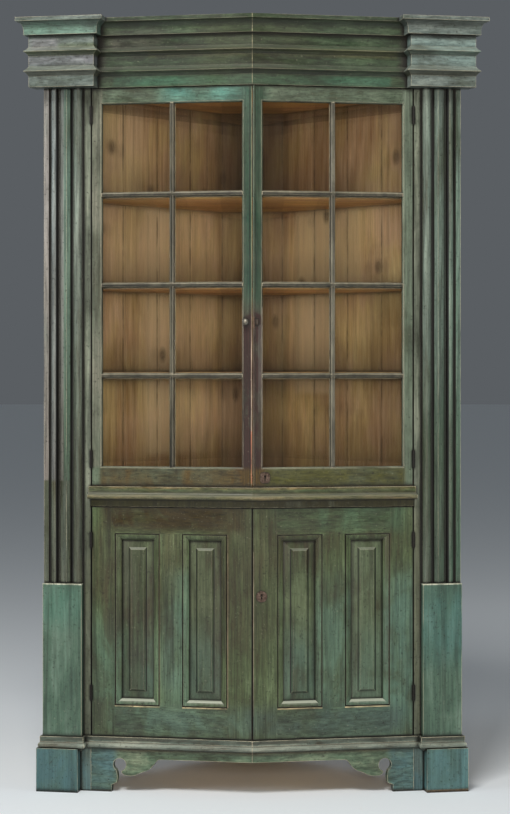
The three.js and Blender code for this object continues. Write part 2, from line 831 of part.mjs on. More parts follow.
const openingTop = lowerDoorTop - lowerTopRail;
const openingBottom = lowerDoorBottom + lowerBottomRail;
const panelLevel = (openingTop + openingBottom) / 2;
const halfPanelHeight = (openingTop - openingBottom) / 2;
const innerStart = meetingEdge + lowerMeetingStile;
const outerEnd = doorEdge - lowerHingeStile;
const panelWidth = (outerEnd - innerStart - lowerMuntin) / 2;
const panelMiddles = [innerStart + panelWidth / 2, outerEnd - panelWidth / 2];

// Depth and narrowing of the stuck moulding: a quirk, then a quarter round that sinks to the panel
const stuckRound = stuckMoulding - stuckQuirk;
const stuckSweep = [
  [stuckQuirkDepth, 0],
  [stuckQuirkDepth, stuckQuirkFloor],
  ...arc([stuckDepth, stuckQuirk], stuckDepth - stuckStep, stuckRound, 180, 90, stuckSteps),
];

function panelOpening(middle) {
  const levels = (list) => toSolid(steppedRectangle(middle, panelLevel, list.map(([depth, inwards]) => [
    depth, panelWidth / 2 - inwards, halfPanelHeight - inwards])));
  const sight = levels([[-overrun, 0], ...stuckSweep, [doorThickness + overrun, stuckMoulding]]);
  const groove = levels([[panelGrooveDepth, stuckMoulding - panelTongue],
    [panelGrooveDepth + panelGroove, stuckMoulding - panelTongue]]);
  return sight.add(groove);
}

function lowerFrame() {
  return panelMiddles.reduce((slab, middle) => slab.subtract(panelOpening(middle)),
    doorSlab(lowerDoorBottom, lowerDoorTop));
}

function raisedPanel(middle) {
  const edge = stuckMoulding - panelTongue + panelPlay;
  const margin = stuckMoulding + panelMargin;
  const front = panelGrooveDepth + seat;
  const back = panelGrooveDepth + panelGroove - seat;
  const level = (depth, inwards) => [depth, panelWidth / 2 - inwards, halfPanelHeight - inwards];
  return steppedRectangle(middle, panelLevel, [
    level(front - panelFieldRise, margin + panelBevel),
    level(front - panelFieldRise + panelFieldStep, margin),
    level(front, stuckMoulding),
    level(front, edge),
    level(back, edge),
  ]);
}

// Locks: a sliding bolt in each right-hand door, worked by a key through the escutcheon

// A keyhole cutter, round above with a slot below, from one depth to another
function keyhole(s, z, front, back) {
  const round = new THREE.CylinderGeometry(keyholeRound, keyholeRound, back - front, keyholeSides);
  round.translate(s, (front + back) / 2, z);
  const slot = block([s - keyholeSlot / 2, front, z - keyholeDrop], [s + keyholeSlot / 2, back, z]);
  return toSolid(round).add(toSolid(slot));
}

const boltStart = meetingEdge + boltDepth * Math.tan(cant) + boltRecess;

function boltPocket(inset, height) {
  return toSolid(block(
    [-overrun, boltDepth - boltPlay, height - boltHeight / 2 - boltPlay],
    [inset + boltBack + boltPlay, boltDepth + boltThickness + boltPlay, height + boltHeight / 2 + boltPlay],
  ));
}

function strikePocket(height) {
  return toSolid(block(
    [-overrun, boltDepth - strikePlay, height - boltHeight / 2 - boltPlay],
    [boltThrow + overrun, boltDepth + boltThickness + strikePlay, height + boltHeight / 2 + boltPlay],
  ));
}

function lockBolt(inset, height) {
  return block([boltStart, boltDepth, height - boltHeight / 2],
    [inset + boltBack, boltDepth + boltThickness, height + boltHeight / 2]);
}

const keyDepth = boltDepth - boltPlay / 2;

function withLock(frame, inset, height) {
  return frame.subtract(boltPocket(inset, height)).subtract(keyhole(inset, height, -overrun, keyDepth));
}

function platePierced(plate, inset, height) {
  const bore = keyhole(inset, height, -escutcheonThickness - overrun, overrun);
  return toGeometry(toSolid(plate).subtract(bore));
}

function upperEscutcheon() {
  const clip = escutcheonClip;
  const halfWidth = upperEscutcheonWidth / 2;
  const halfHeight = upperEscutcheonHeight / 2;
  const shape = new THREE.Shape([
    [-halfWidth + clip, -halfHeight], [halfWidth - clip, -halfHeight], [halfWidth, -halfHeight + clip],
    [halfWidth, halfHeight - clip], [halfWidth - clip, halfHeight], [-halfWidth + clip, halfHeight],
    [-halfWidth, halfHeight - clip], [-halfWidth, -halfHeight + clip],
  ].map(([s, z]) => new THREE.Vector2(s + upperLockInset, z + upperLockHeight)));
  return platePierced(facing(shape, -seat - escutcheonThickness, -seat, 1), upperLockInset, upperLockHeight);
}

function lowerEscutcheon() {
  const disc = new THREE.CylinderGeometry(lowerEscutcheonRadius, lowerEscutcheonRadius, escutcheonThickness,
    turnedSides);
  disc.translate(lowerLockInset, -seat - escutcheonThickness / 2, lowerLockHeight);
  return platePierced(disc, lowerLockInset, lowerLockHeight);
}

// Latch: a turned knob on the left door whose spindle carries a cam behind the right door

function latchBore() {
  const radius = spindleRadius + spindlePlay;
  const bore = new THREE.CylinderGeometry(radius, radius, doorThickness + overrun * 2, turnedSides);
  return toSolid(bore.translate(latchInset, doorThickness / 2, latchHeight));
}

function latchKnob() {
  const stem = knobLength - knobRadius;
  const spindleEnd = doorThickness + camSetback + camThickness;
  const ballHeight = knobRadius * ballFlatness;
  const ball = arc([0, stem + ballHeight], knobRadius, ballHeight, -60, 90, ballSteps);
  const points = [[0, -spindleEnd], [spindleRadius, -spindleEnd], [spindleRadius, seat], [roseRadius, seat],
    [roseRadius, seat + roseThickness], [neckRadius, seat + roseThickness * 2], ...ball];
  points[points.length - 1] = [0, points[points.length - 1][1]];
  const turning = points.map(([radius, out]) => new THREE.Vector2(radius, out));
  const turned = new THREE.LatheGeometry(turning, turnedSides);
  turned.rotateZ(Math.PI);
  turned.translate(latchInset, 0, latchHeight);
  const cam = block(
    [latchInset - camWidth / 2, doorThickness + camSetback, latchHeight - camWidth / 2],
    [latchInset + camWidth / 2, spindleEnd, latchHeight - camWidth / 2 + camLength],
  );
  return toGeometry(toSolid(turned).add(toSolid(cam)));
}

function latchKeeper() {
  const dome = keeperThickness / 2;
  const start = meetingEdge + meetingBead * 2 + seat;
  const end = start + keeperWidth;
  const outline = [[start, -seat], [start, -dome], [start + dome, -keeperThickness],
    [end - dome, -keeperThickness], [end, -dome], [end, -seat]];
  return upright(outline, latchHeight - keeperHeight / 2, latchHeight + keeperHeight / 2);
}

// Butt hinges: the stile leaf holds the pin and two knuckles, the door leaf the middle one

const hingeS = (openingHalfFront + doorEdge) / 2;
const hingeT = -hingeKnuckle - seat;

function knuckle(low, high, bore) {
  const barrel = new THREE.CylinderGeometry(hingeKnuckle, hingeKnuckle, high - low, hingeSides);
  barrel.rotateX(Math.PI / 2).translate(hingeS, hingeT, (low + high) / 2);
  if (!bore) {
    return toSolid(barrel);
  }
  const hole = new THREE.CylinderGeometry(bore, bore, high - low + overrun, hingeSides);
  hole.rotateX(Math.PI / 2).translate(hingeS, hingeT, (low + high) / 2);
  return toSolid(barrel).subtract(toSolid(hole));
}

function hingeLeaves(middle, length) {
  const low = middle - length / 2;
  const high = middle + length / 2;
  const third = length / 3;
  const leafBack = hingeLeafDepth;
  const stileFace = openingHalfFront - seat;
  const doorFace = doorEdge + seat;
  const leaf = (near, far, front, bottom, top) => toSolid(block([near, front, bottom], [far, leafBack, top]));
  const bored = hingePin + hingePlay;
  const middleLow = low + third + hingePlay;
  const middleHigh = high - third - hingePlay;
  const pin = new THREE.CylinderGeometry(hingePin, hingePin, length, hingeSides);
  pin.rotateX(Math.PI / 2).translate(hingeS, hingeT, middle);
  const stileLeaf = leaf(stileFace - hingeLeaf, stileFace, seat, low, high)
    .add(leaf(stileFace - hingeLeaf, stileFace, hingeT, low, low + third))
    .add(leaf(stileFace - hingeLeaf, stileFace, hingeT, high - third, high))
    .add(knuckle(low, low + third, 0))
    .add(knuckle(high - third, high, 0))
    .add(toSolid(pin));
  const doorLeaf = leaf(doorFace, doorFace + hingeLeaf, seat, low, high)
    .add(leaf(doorFace, doorFace + hingeLeaf, hingeT, middleLow, middleHigh)
      .subtract(toSolid(new THREE.CylinderGeometry(bored, bored, length, hingeSides)
        .rotateX(Math.PI / 2).translate(hingeS, hingeT, middle))))
    .add(knuckle(middleLow, middleHigh, bored));
  return [toGeometry(stileLeaf), toGeometry(doorLeaf)];
}

const hingeSets = [
  ['upper', upperHingeHeights, upperHingeLength],
  ['lower', lowerHingeHeights, lowerHingeLength],
];

for (const [side, half] of halves) {
  for (const [level, heights, length] of hingeSets) {
    heights.forEach((height, at) => {
      const [stileLeaf, doorLeaf] = hingeLeaves(height, length);
      const end = at === 0 ? 'bottom' : 'top';
      place(`${side}_${level}_${end}_hinge_stile_leaf`, stileLeaf, 'agedIron', half);
      place(`${side}_${level}_${end}_hinge_door_leaf`, doorLeaf, 'agedIron', half);
    });
  }
}

// The bead worked on the right-hand upper door along the meeting edge
function meetingBeadSolid() {
  const middle = [meetingEdge + meetingBead, 0];
  const outline = arc(middle, meetingBead, meetingBead * beadRise, 180, 360, beadSteps);
  outline.push([meetingEdge + meetingBead * 2, nibDepth], [meetingEdge, nibDepth]);
  return toSolid(upright(outline, upperDoorBottom, doorHead));
}

const upperRight = withLock(upperFrame().add(meetingBeadSolid()), upperLockInset, upperLockHeight);
const upperLeft = upperFrame().subtract(strikePocket(upperLockHeight)).subtract(latchBore());
const lowerRight = withLock(lowerFrame(), lowerLockInset, lowerLockHeight);
const lowerLeft = lowerFrame().subtract(strikePocket(lowerLockHeight));
const doorFrames = { left: [upperLeft, lowerLeft], right: [upperRight, lowerRight] };

for (const [side, half] of halves) {
  const [upper, lower] = doorFrames[side];
  place(`${side}_upper_door_frame`, toGeometry(upper), 'paintTeal', half);
  place(`${side}_sash_bars`, upperBars.clone(), 'paintGrey', half);
  place(`${side}_glazing`, glazing.clone(), 'windowGlass', half);
  place(`${side}_lower_door_frame`, toGeometry(lower), 'paintOlive', half);
  panelMiddles.forEach((middle, at) => {
    place(`${side}_${at === 0 ? 'inner' : 'outer'}_panel`, raisedPanel(middle), 'paintOlive', half);
  });
}

place('latch_knob', latchKnob(), 'pewter', leftHalf);
place('latch_keeper', latchKeeper(), 'agedIron', rightHalf);
place('upper_escutcheon', upperEscutcheon(), 'wornCopper', rightHalf);
place('lower_escutcheon', lowerEscutcheon(), 'wornCopper', rightHalf);
place('upper_lock_bolt', lockBolt(upperLockInset, upperLockHeight), 'agedIron', rightHalf);
place('lower_lock_bolt', lockBolt(lowerLockInset, lowerLockHeight), 'agedIron', rightHalf);

// The origin is on the floor, under the middle of the cupboard's box

cupboard.updateMatrixWorld(true);
const box = new THREE.Box3().setFromObject(cupboard, true);
cupboard.position.y = -(box.min.y + box.max.y) / 2;
cupboard.updateMatrixWorld(true);

export default cupboard;
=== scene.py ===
import math

import bmesh
import bpy
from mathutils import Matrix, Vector


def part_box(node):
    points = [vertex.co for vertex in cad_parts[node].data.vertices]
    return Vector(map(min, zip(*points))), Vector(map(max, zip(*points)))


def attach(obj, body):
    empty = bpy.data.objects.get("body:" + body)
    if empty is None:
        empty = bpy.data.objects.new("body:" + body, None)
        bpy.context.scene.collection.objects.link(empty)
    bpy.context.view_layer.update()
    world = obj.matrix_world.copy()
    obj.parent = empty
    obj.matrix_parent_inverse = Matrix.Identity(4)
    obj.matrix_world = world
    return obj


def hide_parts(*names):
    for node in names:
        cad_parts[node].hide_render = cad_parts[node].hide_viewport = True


bl_info = {
    "name": "Painted corner cupboard",
    "version": (1, 0, 0),
    "blender": (4, 5, 0),
    "location": "3D View > Sidebar > Cupboard",
    "description": "Finishes, window lights and small fittings of a painted pine corner cupboard",
    "category": "Object",
}

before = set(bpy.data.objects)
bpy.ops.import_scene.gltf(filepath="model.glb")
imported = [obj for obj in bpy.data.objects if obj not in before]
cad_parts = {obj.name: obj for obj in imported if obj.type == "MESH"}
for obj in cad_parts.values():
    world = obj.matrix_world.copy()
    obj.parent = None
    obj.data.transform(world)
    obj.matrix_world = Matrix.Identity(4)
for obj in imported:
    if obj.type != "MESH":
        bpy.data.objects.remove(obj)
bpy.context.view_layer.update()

MM = 0.001

# Lean of each half of the front, and how far forward their meeting line stands
CANT = math.radians(10.3)
PROW_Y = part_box("head_rail")[0].y

# Openings of the framed doors in mm: stile to stile along the front, then rail to rail in height
UPPER_RAILS = (31, 442, 942, 1989)
LOWER_RAILS = (73, 404, 251, 748)
INNER_OPENING = (72.6, 205.4, 250.6, 748.4)
OUTER_OPENING = (271.6, 404.4, 250.6, 748.4)
QUIRK_MM = 3.4

# Rows of lights in a glazed door, and the heights of the bars between them
LIGHT_ROWS = 4
ROW_PITCH_MM = (UPPER_RAILS[3] - UPPER_RAILS[2]) / LIGHT_ROWS
BAR_LEVELS = [UPPER_RAILS[2] + ROW_PITCH_MM * row for row in range(1, LIGHT_ROWS)]

# Glass behind the front of the doors, the rebate's width, the bars' narrow backs, and the slack between them
GLASS_FRONT_MM = 11.35
GLASS_BACK_MM = 13.8
REBATE_MM = 7.4
TONGUE_MM = 5.0
TONGUE_BACK_MM = 19.0
SLACK_MM = 0.2

# Quirks between the reeds of a pilaster, from and to along the front
REED_GAPS = ((495.0, 499.5), (527.5, 535.0), (570.5, 576.5), (595.2, 598.8))

# Along the front, the face in which each kind of hinge leaf has its screws
LEAF_FACE_MM = {"stile": 474.9, "door": 474.1}

# Back boards: the first joint from the middle line, the boards' width, and the wall behind the lights
FIRST_JOINT_MM = 192.9
JOINT_PITCH_MM = 98.3
WALL_BOTTOM_MM, WALL_TOP_MM = 930, 2060
RING_COUNT = 9

# The photograph's size and vanishing point in pixels, and the camera that fits them
PHOTO_WIDTH, PHOTO_HEIGHT = 510, 814
HORIZON_Y, MIDDLE_X = 366, 252.3
FOCAL_MM = 91.5
CAMERA_DISTANCE = 5.915
EYE_HEIGHT = 1.232


# Colours and node trees

def linear(code):
    """An sRGB hex value, such as "8a7f66", as a linear colour with alpha."""
    channels = [int(code[i:i + 2], 16) / 255 for i in (0, 2, 4)]
    return tuple(c / 12.92 if c <= 0.04045 else ((c + 0.055) / 1.055) ** 2.4 for c in channels) + (1.0,)


def colour(value):
    """A hex value or a user's colour setting as a linear colour with alpha."""
    return linear(value) if isinstance(value, str) else tuple(value)[:3] + (1.0,)


def add(tree, kind, inputs=(), output=0, stops=(), **settings):
    """Adds one node and returns one of its outputs. Each input, by its name or in order, takes a value or is
    linked to the output given for it. Stops are a ramp's (position, linear colour or grey number)."""
    node = tree.nodes.new("ShaderNode" + kind)
    for name, value in settings.items():
        setattr(node, name, value)
    for key, value in inputs.items() if isinstance(inputs, dict) else enumerate(inputs):
        if isinstance(value, bpy.types.NodeSocket):
            tree.links.new(value, node.inputs[key])
        else:
            node.inputs[key].default_value = value
    while stops and len(node.color_ramp.elements) > 1:
        node.color_ramp.elements.remove(node.color_ramp.elements[-1])
    for at, (position, tone) in enumerate(stops):
        band = node.color_ramp.elements
        stop = band.new(position) if at else band[0]
        stop.position = position
        stop.color = (tone, tone, tone, 1.0) if isinstance(tone, (int, float)) else tone
    return node.outputs[output] if node.outputs else None


def new_material(name):
    """An empty material and its node tree."""
    material = bpy.data.materials.new(name)
    material.use_nodes = True
    material.node_tree.nodes.clear()
    return material, material.node_tree


def surfaced(material, inputs):
    """The material with its principled shader, whose inputs are values or outputs."""
    shader = add(material.node_tree, "BsdfPrincipled", inputs)
    add(material.node_tree, "OutputMaterial", {"Surface": shader})
    return material


def per_metre(size_mm):
    """Texture scale whose pattern repeats about once in a size given in millimetres."""
    return 1.0 / (size_mm * MM)


def sized(place, size_mm, detail, rough, warp=0.0):
    """Inputs of a noise whose blotches are about size_mm across."""
    return {"Vector": place, "Scale": per_metre(size_mm), "Detail": detail, "Roughness": rough,
            "Distortion": warp}


def along_grain(tree, place, share, axis, on_rail=None):
    """Coordinates squeezed to a share along the grain, which draws a pattern out. On the rails of a framed
    door, where on_rail is 1, the grain runs level."""
    scale = [1.0, 1.0, 1.0]
    scale[axis] = share
    squeezed = add(tree, "Mapping", {"Vector": place, "Scale": scale})
    if on_rail is None:
        return squeezed
    level = along_grain(tree, place, share, 0)
    return add(tree, "Mix", {0: on_rail, 4: squeezed, 5: level}, 1, data_type="VECTOR")


def blended(tree, *parts):
    """Sum of patterns, each given with its weight."""
    total = 0.0
    for pattern, weight in parts:
        total = add(tree, "Math", (pattern, weight, total), operation="MULTIPLY_ADD")
    return total


def shaded(tree, coat, share, pattern, stops):
    """The coat made darker and paler by a pattern, through a ramp in which 1 leaves it as it is."""
    tone = add(tree, "ValToRGB", (pattern,), stops=stops)
    return add(tree, "Mix", {0: share, 6: coat, 7: tone}, 2, data_type="RGBA", blend_type="MULTIPLY")


def laid(tree, coat, code, mask, strength=1.0, stops=()):
    """The coat with a colour laid over it where the mask is 1, at a share of strength. Stops turn a pattern
    into such a mask first."""
    if stops:
        mask = add(tree, "ValToRGB", (mask,), stops=stops)
    share = add(tree, "Math", (mask, strength), operation="MULTIPLY", use_clamp=True)
    return add(tree, "Mix", {0: share, 6: coat, 7: linear(code)}, 2, data_type="RGBA")


# Places on the cupboard

def front_point(side, reach, depth, height):
    """A point of the front in the cupboard's frame: side is -1 for left and 1 for right."""
    across = reach * math.cos(CANT) - depth * math.sin(CANT)
    return Vector((side * across, PROW_Y + reach * math.sin(CANT) + depth * math.cos(CANT), height))


def object_place(tree):
    """Object coordinates, which are the cupboard's own frame in metres, and their X and Z."""
    place = add(tree, "TexCoord", output="Object")
    split = add(tree, "SeparateXYZ", (place,)).node.outputs
    return place, split["X"], split["Z"]


def front_reach(tree, place):
    """Distance outwards from the middle line, along either leaning half of the front."""
    split = add(tree, "SeparateXYZ", (place,)).node.outputs
    aside = add(tree, "Math", (split["X"],), operation="ABSOLUTE")
    behind = add(tree, "Math", (split["Y"], PROW_Y), operation="SUBTRACT")
    return blended(tree, (aside, math.cos(CANT)), (behind, math.sin(CANT)))


def edge_mask(tree, width_mm, sharpness):
    """1 along convex and concave edges, where the rounded normal departs from the flat one."""
    rounded = add(tree, "Bevel", {"Radius": width_mm * MM}, samples=6)
    flat = add(tree, "NewGeometry", output="Normal")
    facing = add(tree, "VectorMath", (rounded, flat), "Value", operation="DOT_PRODUCT")
    away = add(tree, "Math", (1.0, facing), operation="SUBTRACT")
    return add(tree, "Math", (away, sharpness), operation="MULTIPLY", use_clamp=True)


def crevice_shade_mask(tree, reach_mm):
    """1 in quirks and corners, found by ambient occlusion: painted shade goes there, with the grime and old
    varnish that fill them.
    """
    clear = add(tree, "AmbientOcclusion", {"Distance": reach_mm * MM}, "AO", samples=6)
    return add(tree, "Math", (1.0, clear), operation="SUBTRACT")


def facing_up(tree):
    """How far the surface faces up: 1 on a shelf, 0 on an upright face, -1 on an underside."""
    return add(tree, "SeparateXYZ", (add(tree, "NewGeometry", output="Normal"),), "Z")


def window(tree, value, low_mm, high_mm, soft_mm):
    """1 from low to high, fading over a soft stretch either side of each."""
    rise = {"Value": value, "From Min": (low_mm - soft_mm) * MM, "From Max": (low_mm + soft_mm) * MM}
    fall = {"Value": value, "From Min": (high_mm - soft_mm) * MM, "From Max": (high_mm + soft_mm) * MM,
            "To Min": 1.0, "To Max": 0.0}
    slopes = [add(tree, "MapRange", slope, interpolation_type="SMOOTHSTEP") for slope in (rise, fall)]
    return add(tree, "Math", slopes, operation="MULTIPLY")


def rectangle(tree, across, height, limits, soft_mm=0.5, inwards_mm=0.0):
    """1 inside a rectangle of (low, high, bottom, top) in mm, drawn in on every side by inwards_mm."""
    low, high, bottom, top = limits
    between = window(tree, across, low + inwards_mm, high - inwards_mm, soft_mm)
    level = window(tree, height, bottom + inwards_mm, top - inwards_mm, soft_mm)
    return add(tree, "Math", (between, level), operation="MULTIPLY")


def rail_mask(tree, place, height, rails):
    """1 on the rails of a framed door: between the stiles, and above or below the opening."""
    inner, outer, low, high = rails
    between = window(tree, front_reach(tree, place), inner, outer, 0.1)
    beside = add(tree, "Math", (1.0, window(tree, height, low, high, 0.1)), operation="SUBTRACT")
    return add(tree, "Math", (between, beside), operation="MULTIPLY")


# Finishes

def old_paint(name, main, second, worn, grain_axis=2, wear=0.45, tints=(), rails=None, rub_mm=2.6, gaps=(),
              quirks=(), dust_and_light=0.2, brush=0.85, shade_and_soil_mm=16, patch=0.6):
    """Old oil paint on pine, brushed by hand and rubbed thin: two green coats that show through each other
    in long streaks with the grain, dark runs of old varnish, pale wood along the arrises, grey dusting and
    painted light on what faces up, painted shade on what faces down, black grime and painted shade in the
    quirks, satin where hands and dusters have rubbed it. Tints are (hex, X low, X high, Z low, Z high,
    softness, strength) in mm, for places where the old coat has aged to another hue, and for some painted
    highlights and painted shadows. Gaps are (reach low, reach high, Z low, Z high) in mm: black lines in shut
    joints too dark to show paint, and painted shade in deep quirks. Quirks are the same four limits of a
    panel's opening, round which the sunk line is painted black as shade."""
    material, tree = new_material(name)
    place, across, height = object_place(tree)
    on_rail = rail_mask(tree, place, height, rails) if rails else None
    grain = along_grain(tree, place, 0.09, grain_axis, on_rail)
    fine = along_grain(tree, place, 0.035, grain_axis, on_rail)
    streaks = add(tree, "TexNoise", sized(grain, 16, 6.0, 0.68, 0.2))
    blotches = add(tree, "TexNoise", sized(along_grain(tree, place, patch, grain_axis), 130, 6.0, 0.62, 0.5))
    coat = add(tree, "ValToRGB", (blended(tree, (streaks, 0.42), (blotches, 0.58)),),
               stops=[(0.40, colour(second)), (0.50, colour(main)), (0.63, colour(worn))])
    for code, *limits, soft, strength in tints:
        patchy = add(tree, "ValToRGB", (streaks if soft < 1 else blotches,), stops=[(0.40, 0.3), (0.58, 1.0)])
        area = rectangle(tree, across, height, limits, soft)
        coat = laid(tree, coat, code, add(tree, "Math", (area, patchy), operation="MULTIPLY"), strength)
    # Brush lines, in the real paint under 1 mm apart, drawn at 5 mm so that they show
    lines = add(tree, "TexNoise", sized(fine, 5.2, 4.0, 0.7))
    coat = shaded(tree, coat, brush, lines, [(0.36, 0.62), (0.50, 1.0), (0.64, 1.4)])
    # Dark varnish runs, 20 to 30 mm wide
    runs = add(tree, "TexNoise", sized(fine, 24, 5.0, 0.7, 0.3))
    coat = laid(tree, coat, "14160f", runs, 0.6, [(0.50, 0.0), (0.70, 1.0)])
    # Pale flecks, 2 to 4 mm, and black dents
    flecks = add(tree, "TexNoise", sized(place, 6, 4.0, 0.85))
    coat = laid(tree, coat, "a9a793", flecks, 0.35, [(0.63, 0.0), (0.67, 1.0)])
    dents = add(tree, "TexNoise", sized(place, 8, 5.0, 0.8))
    coat = laid(tree, coat, "14160f", dents, 0.75, [(0.37, 1.0), (0.42, 0.0)])
    # Grime and painted shade in the quirks, thicker in some streaks
    streaky = add(tree, "Math", (streaks, 0.8), operation="ADD")
    quirk_shade_and_soil = add(tree, "Math", (crevice_shade_mask(tree, shade_and_soil_mm), streaky), operation="MULTIPLY")
    grime_and_shade = add(tree, "ValToRGB", (quirk_shade_and_soil,), stops=[(0.12, 0.0), (0.38, 1.0)])
    coat = laid(tree, coat, "0a0a07", grime_and_shade)
    # Wood that shows along the rubbed arrises, broken along the grain and never in the grime and painted
    # shade
    bare = add(tree, "TexNoise", sized(grain, 20, 5.0, 0.75))
    broken = add(tree, "ValToRGB", (bare,), stops=[(0.36, 0.0), (0.52, 1.0)])
    rubbed = add(tree, "Math", (edge_mask(tree, rub_mm, 11.0), broken), operation="MULTIPLY")
    outside_grime_and_shade = add(tree, "Math", (1.0, grime_and_shade), operation="SUBTRACT")
    coat = laid(tree, coat, "cdc4aa", add(tree, "Math", (rubbed, outside_grime_and_shade), operation="MULTIPLY"), wear)
    # Grey dusting and painted light on what faces up, and painted shade on what faces down
    upward = facing_up(tree)
    dusty_and_lit_tops = blended(tree, (streaks, 0.2), (upward, 1.0))
    coat = laid(tree, coat, "a3a99a", dusty_and_lit_tops, dust_and_light, [(0.32, 0.0), (0.52, 1.0)])
    underside_shade = add(tree, "Math", (upward, -1.0), operation="MULTIPLY")
    coat = laid(tree, coat, "1a1c12", underside_shade, 0.5, [(0.08, 0.0), (0.5, 1.0)])
    # Black lines in shut joints, and painted shade in the quirks and round the panels
    reach = front_reach(tree, place)
    for limits in gaps:
        coat = laid(tree, coat, "0b0a08", rectangle(tree, reach, height, limits))
    for limits in quirks:
        field = rectangle(tree, reach, height, limits, inwards_mm=QUIRK_MM)
        outside = add(tree, "Math", (1.0, field), operation="SUBTRACT")
        opening = rectangle(tree, reach, height, limits)
        coat = laid(tree, coat, "0b0a08", add(tree, "Math", (opening, outside), operation="MULTIPLY"))
    polish = add(tree, "ValToRGB", (add(tree, "TexNoise", sized(grain, 40, 5.0, 0.55)),),
                 stops=[(0.35, 0.0), (0.65, 1.0)])
    rough = add(tree, "MapRange", {"Value": polish, "To Min": 0.30, "To Max": 0.64})
    relief = blended(tree, (lines, 0.6), (streaks, 0.4))
    bump = add(tree, "Bump", {"Strength": 0.5, "Distance": 0.7 * MM, "Height": relief})
    return surfaced(material, {"Base Color": coat, "Roughness": rough, "IOR": 1.48,
                               "Specular IOR Level": 0.4, "Normal": bump})


def bare_pine(name, light, deep, dark, grain_axis=2, knots=True, shade=1.0, tints=()):
    """Pine boards, hand planed and left bare, browned by age: fine early and late wood lines, cathedral
    figure up the middle of some boards, dark and pale veins, pinkish grey and yellow patches, brown stains,
    painted shade in the corners, and ragged soot and painted shade along the shelves. Boards with knots also
    get black joints between them, and painted shade on the lower half of each bay. Tints are as for the
    paint: places where boards are darker or paler."""
    material, tree = new_material(name)
    place, across, height = object_place(tree)
    aside = add(tree, "Math", (across,), operation="ABSOLUTE")
    from_joint = add(tree, "Math", (aside, FIRST_JOINT_MM * MM), operation="SUBTRACT")
    # Each board gets a hue of its own, from its place across the wall
    boards = add(tree, "Math", (from_joint, JOINT_PITCH_MM * MM), operation="DIVIDE")
    count = add(tree, "Math", (boards,), operation="FLOOR")
    side = add(tree, "Math", (across,), operation="SIGN")
    number = add(tree, "Math", (side, 7.0, count), operation="MULTIPLY_ADD")
    board = add(tree, "TexWhiteNoise", {"W": number}, noise_dimensions="1D")
    bend = add(tree, "TexNoise", sized(along_grain(tree, place, 0.16, grain_axis), 150, 2.0, 0.4))
    phase = add(tree, "Math", (bend, board), operation="ADD")
    rings = add(tree, "Math", (phase, 2 * math.pi * RING_COUNT), operation="MULTIPLY")
    wave = add(tree, "Math", (rings,), operation="SINE")
    figure = add(tree, "Math", (wave, 0.5, 0.5), operation="MULTIPLY_ADD")
    # Fibres, in real pine well under 1 mm apart, drawn at 3.6 mm so that they show
    fibres = add(tree, "TexNoise", sized(along_grain(tree, place, 0.03, grain_axis), 3.6, 4.0, 0.7))
    broad = add(tree, "TexNoise", sized(along_grain(tree, place, 0.3, grain_axis), 170, 4.0, 0.55, 0.3))
    wood = add(tree, "ValToRGB", (blended(tree, (figure, 0.07), (fibres, 0.40), (broad, 0.52)),),
               stops=[(0.36, colour(dark)), (0.52, colour(deep)), (0.68, colour(light))])
    wood = shaded(tree, wood, 0.8, board, [(0.15, 0.5), (0.85, 1.25)])
    # Dark and pale veins in the grain, about 10 mm apart
    veins = add(tree, "TexNoise", sized(along_grain(tree, place, 0.035, grain_axis), 10, 5.0, 0.75))
    wood = shaded(tree, wood, 0.6, veins, [(0.36, 0.62), (0.50, 1.0), (0.64, 1.3)])
    # Boards that have gone pinkish grey in places and yellow in others
    patches = add(tree, "TexNoise", sized(along_grain(tree, place, 0.4, grain_axis), 100, 4.0, 0.6, 0.3))
    wood = shaded(tree, wood, 0.65, patches, [(0.42, linear("f6e2e5")), (0.58, linear("faf6cc"))])
    stain = add(tree, "TexNoise", sized(along_grain(tree, place, 0.35, grain_axis), 90, 5.0, 0.65, 0.4))
    wood = laid(tree, wood, "4a3524", stain, 0.45, [(0.50, 0.0), (0.72, 1.0)])
    for code, *limits, soft, strength in tints:
        wood = laid(tree, wood, code, rectangle(tree, across, height, limits, soft), strength)
    if knots:
        flat = add(tree, "CombineXYZ", {"X": across, "Y": height})
        spots = add(tree, "TexVoronoi", {"Vector": along_grain(tree, flat, 0.48, 1), "Scale": per_metre(170)},
                    "Distance", voronoi_dimensions="2D")
        wood = laid(tree, wood, "23150c", spots, 0.85, [(0.03, 1.0), (0.085, 0.0)])
        # Joints: black within about 1 mm of the line, gone at 4 mm, and broken by the grain
        off_line = add(tree, "Math", (from_joint, JOINT_PITCH_MM * MM / 2), operation="PINGPONG")
        centimetres = add(tree, "Math", (off_line, 10 * MM), operation="DIVIDE")
        joint = add(tree, "ValToRGB", (centimetres,), stops=[(0.12, 1.0), (0.38, 0.0)])
        torn = add(tree, "TexNoise", sized(along_grain(tree, place, 0.3, grain_axis), 24, 4.0, 0.7))
        broken = add(tree, "ValToRGB", (torn,), stops=[(0.40, 0.25), (0.58, 1.0)])
        ragged = add(tree, "Math", (joint, broken), operation="MULTIPLY")
        wood = laid(tree, wood, "1c120a", ragged, 0.85)
    # Painted shade in the corners, reaching about 110 mm out from them
    wood = laid(tree, wood, "22160d", crevice_shade_mask(tree, 110), shade * 0.3, [(0.2, 0.0), (0.8, 1.0)])
    if knots:
        # Painted shade on the lower half of each bay's wall, darkest at its foot
        above = add(tree, "Math", (height, BAR_LEVELS[0] * MM), operation="SUBTRACT")
        bays = add(tree, "Math", (above, ROW_PITCH_MM * MM), operation="DIVIDE")
        rise = add(tree, "Math", (bays,), operation="FRACT")
        bay_foot_shade = add(tree, "ValToRGB", (rise,), stops=[(0.03, 0.5), (0.16, 0.3), (0.5, 0.0)])
        wall = window(tree, height, WALL_BOTTOM_MM, WALL_TOP_MM, 20)
        wood = laid(tree, wood, "2a1b10", add(tree, "Math", (bay_foot_shade, wall), operation="MULTIPLY"))
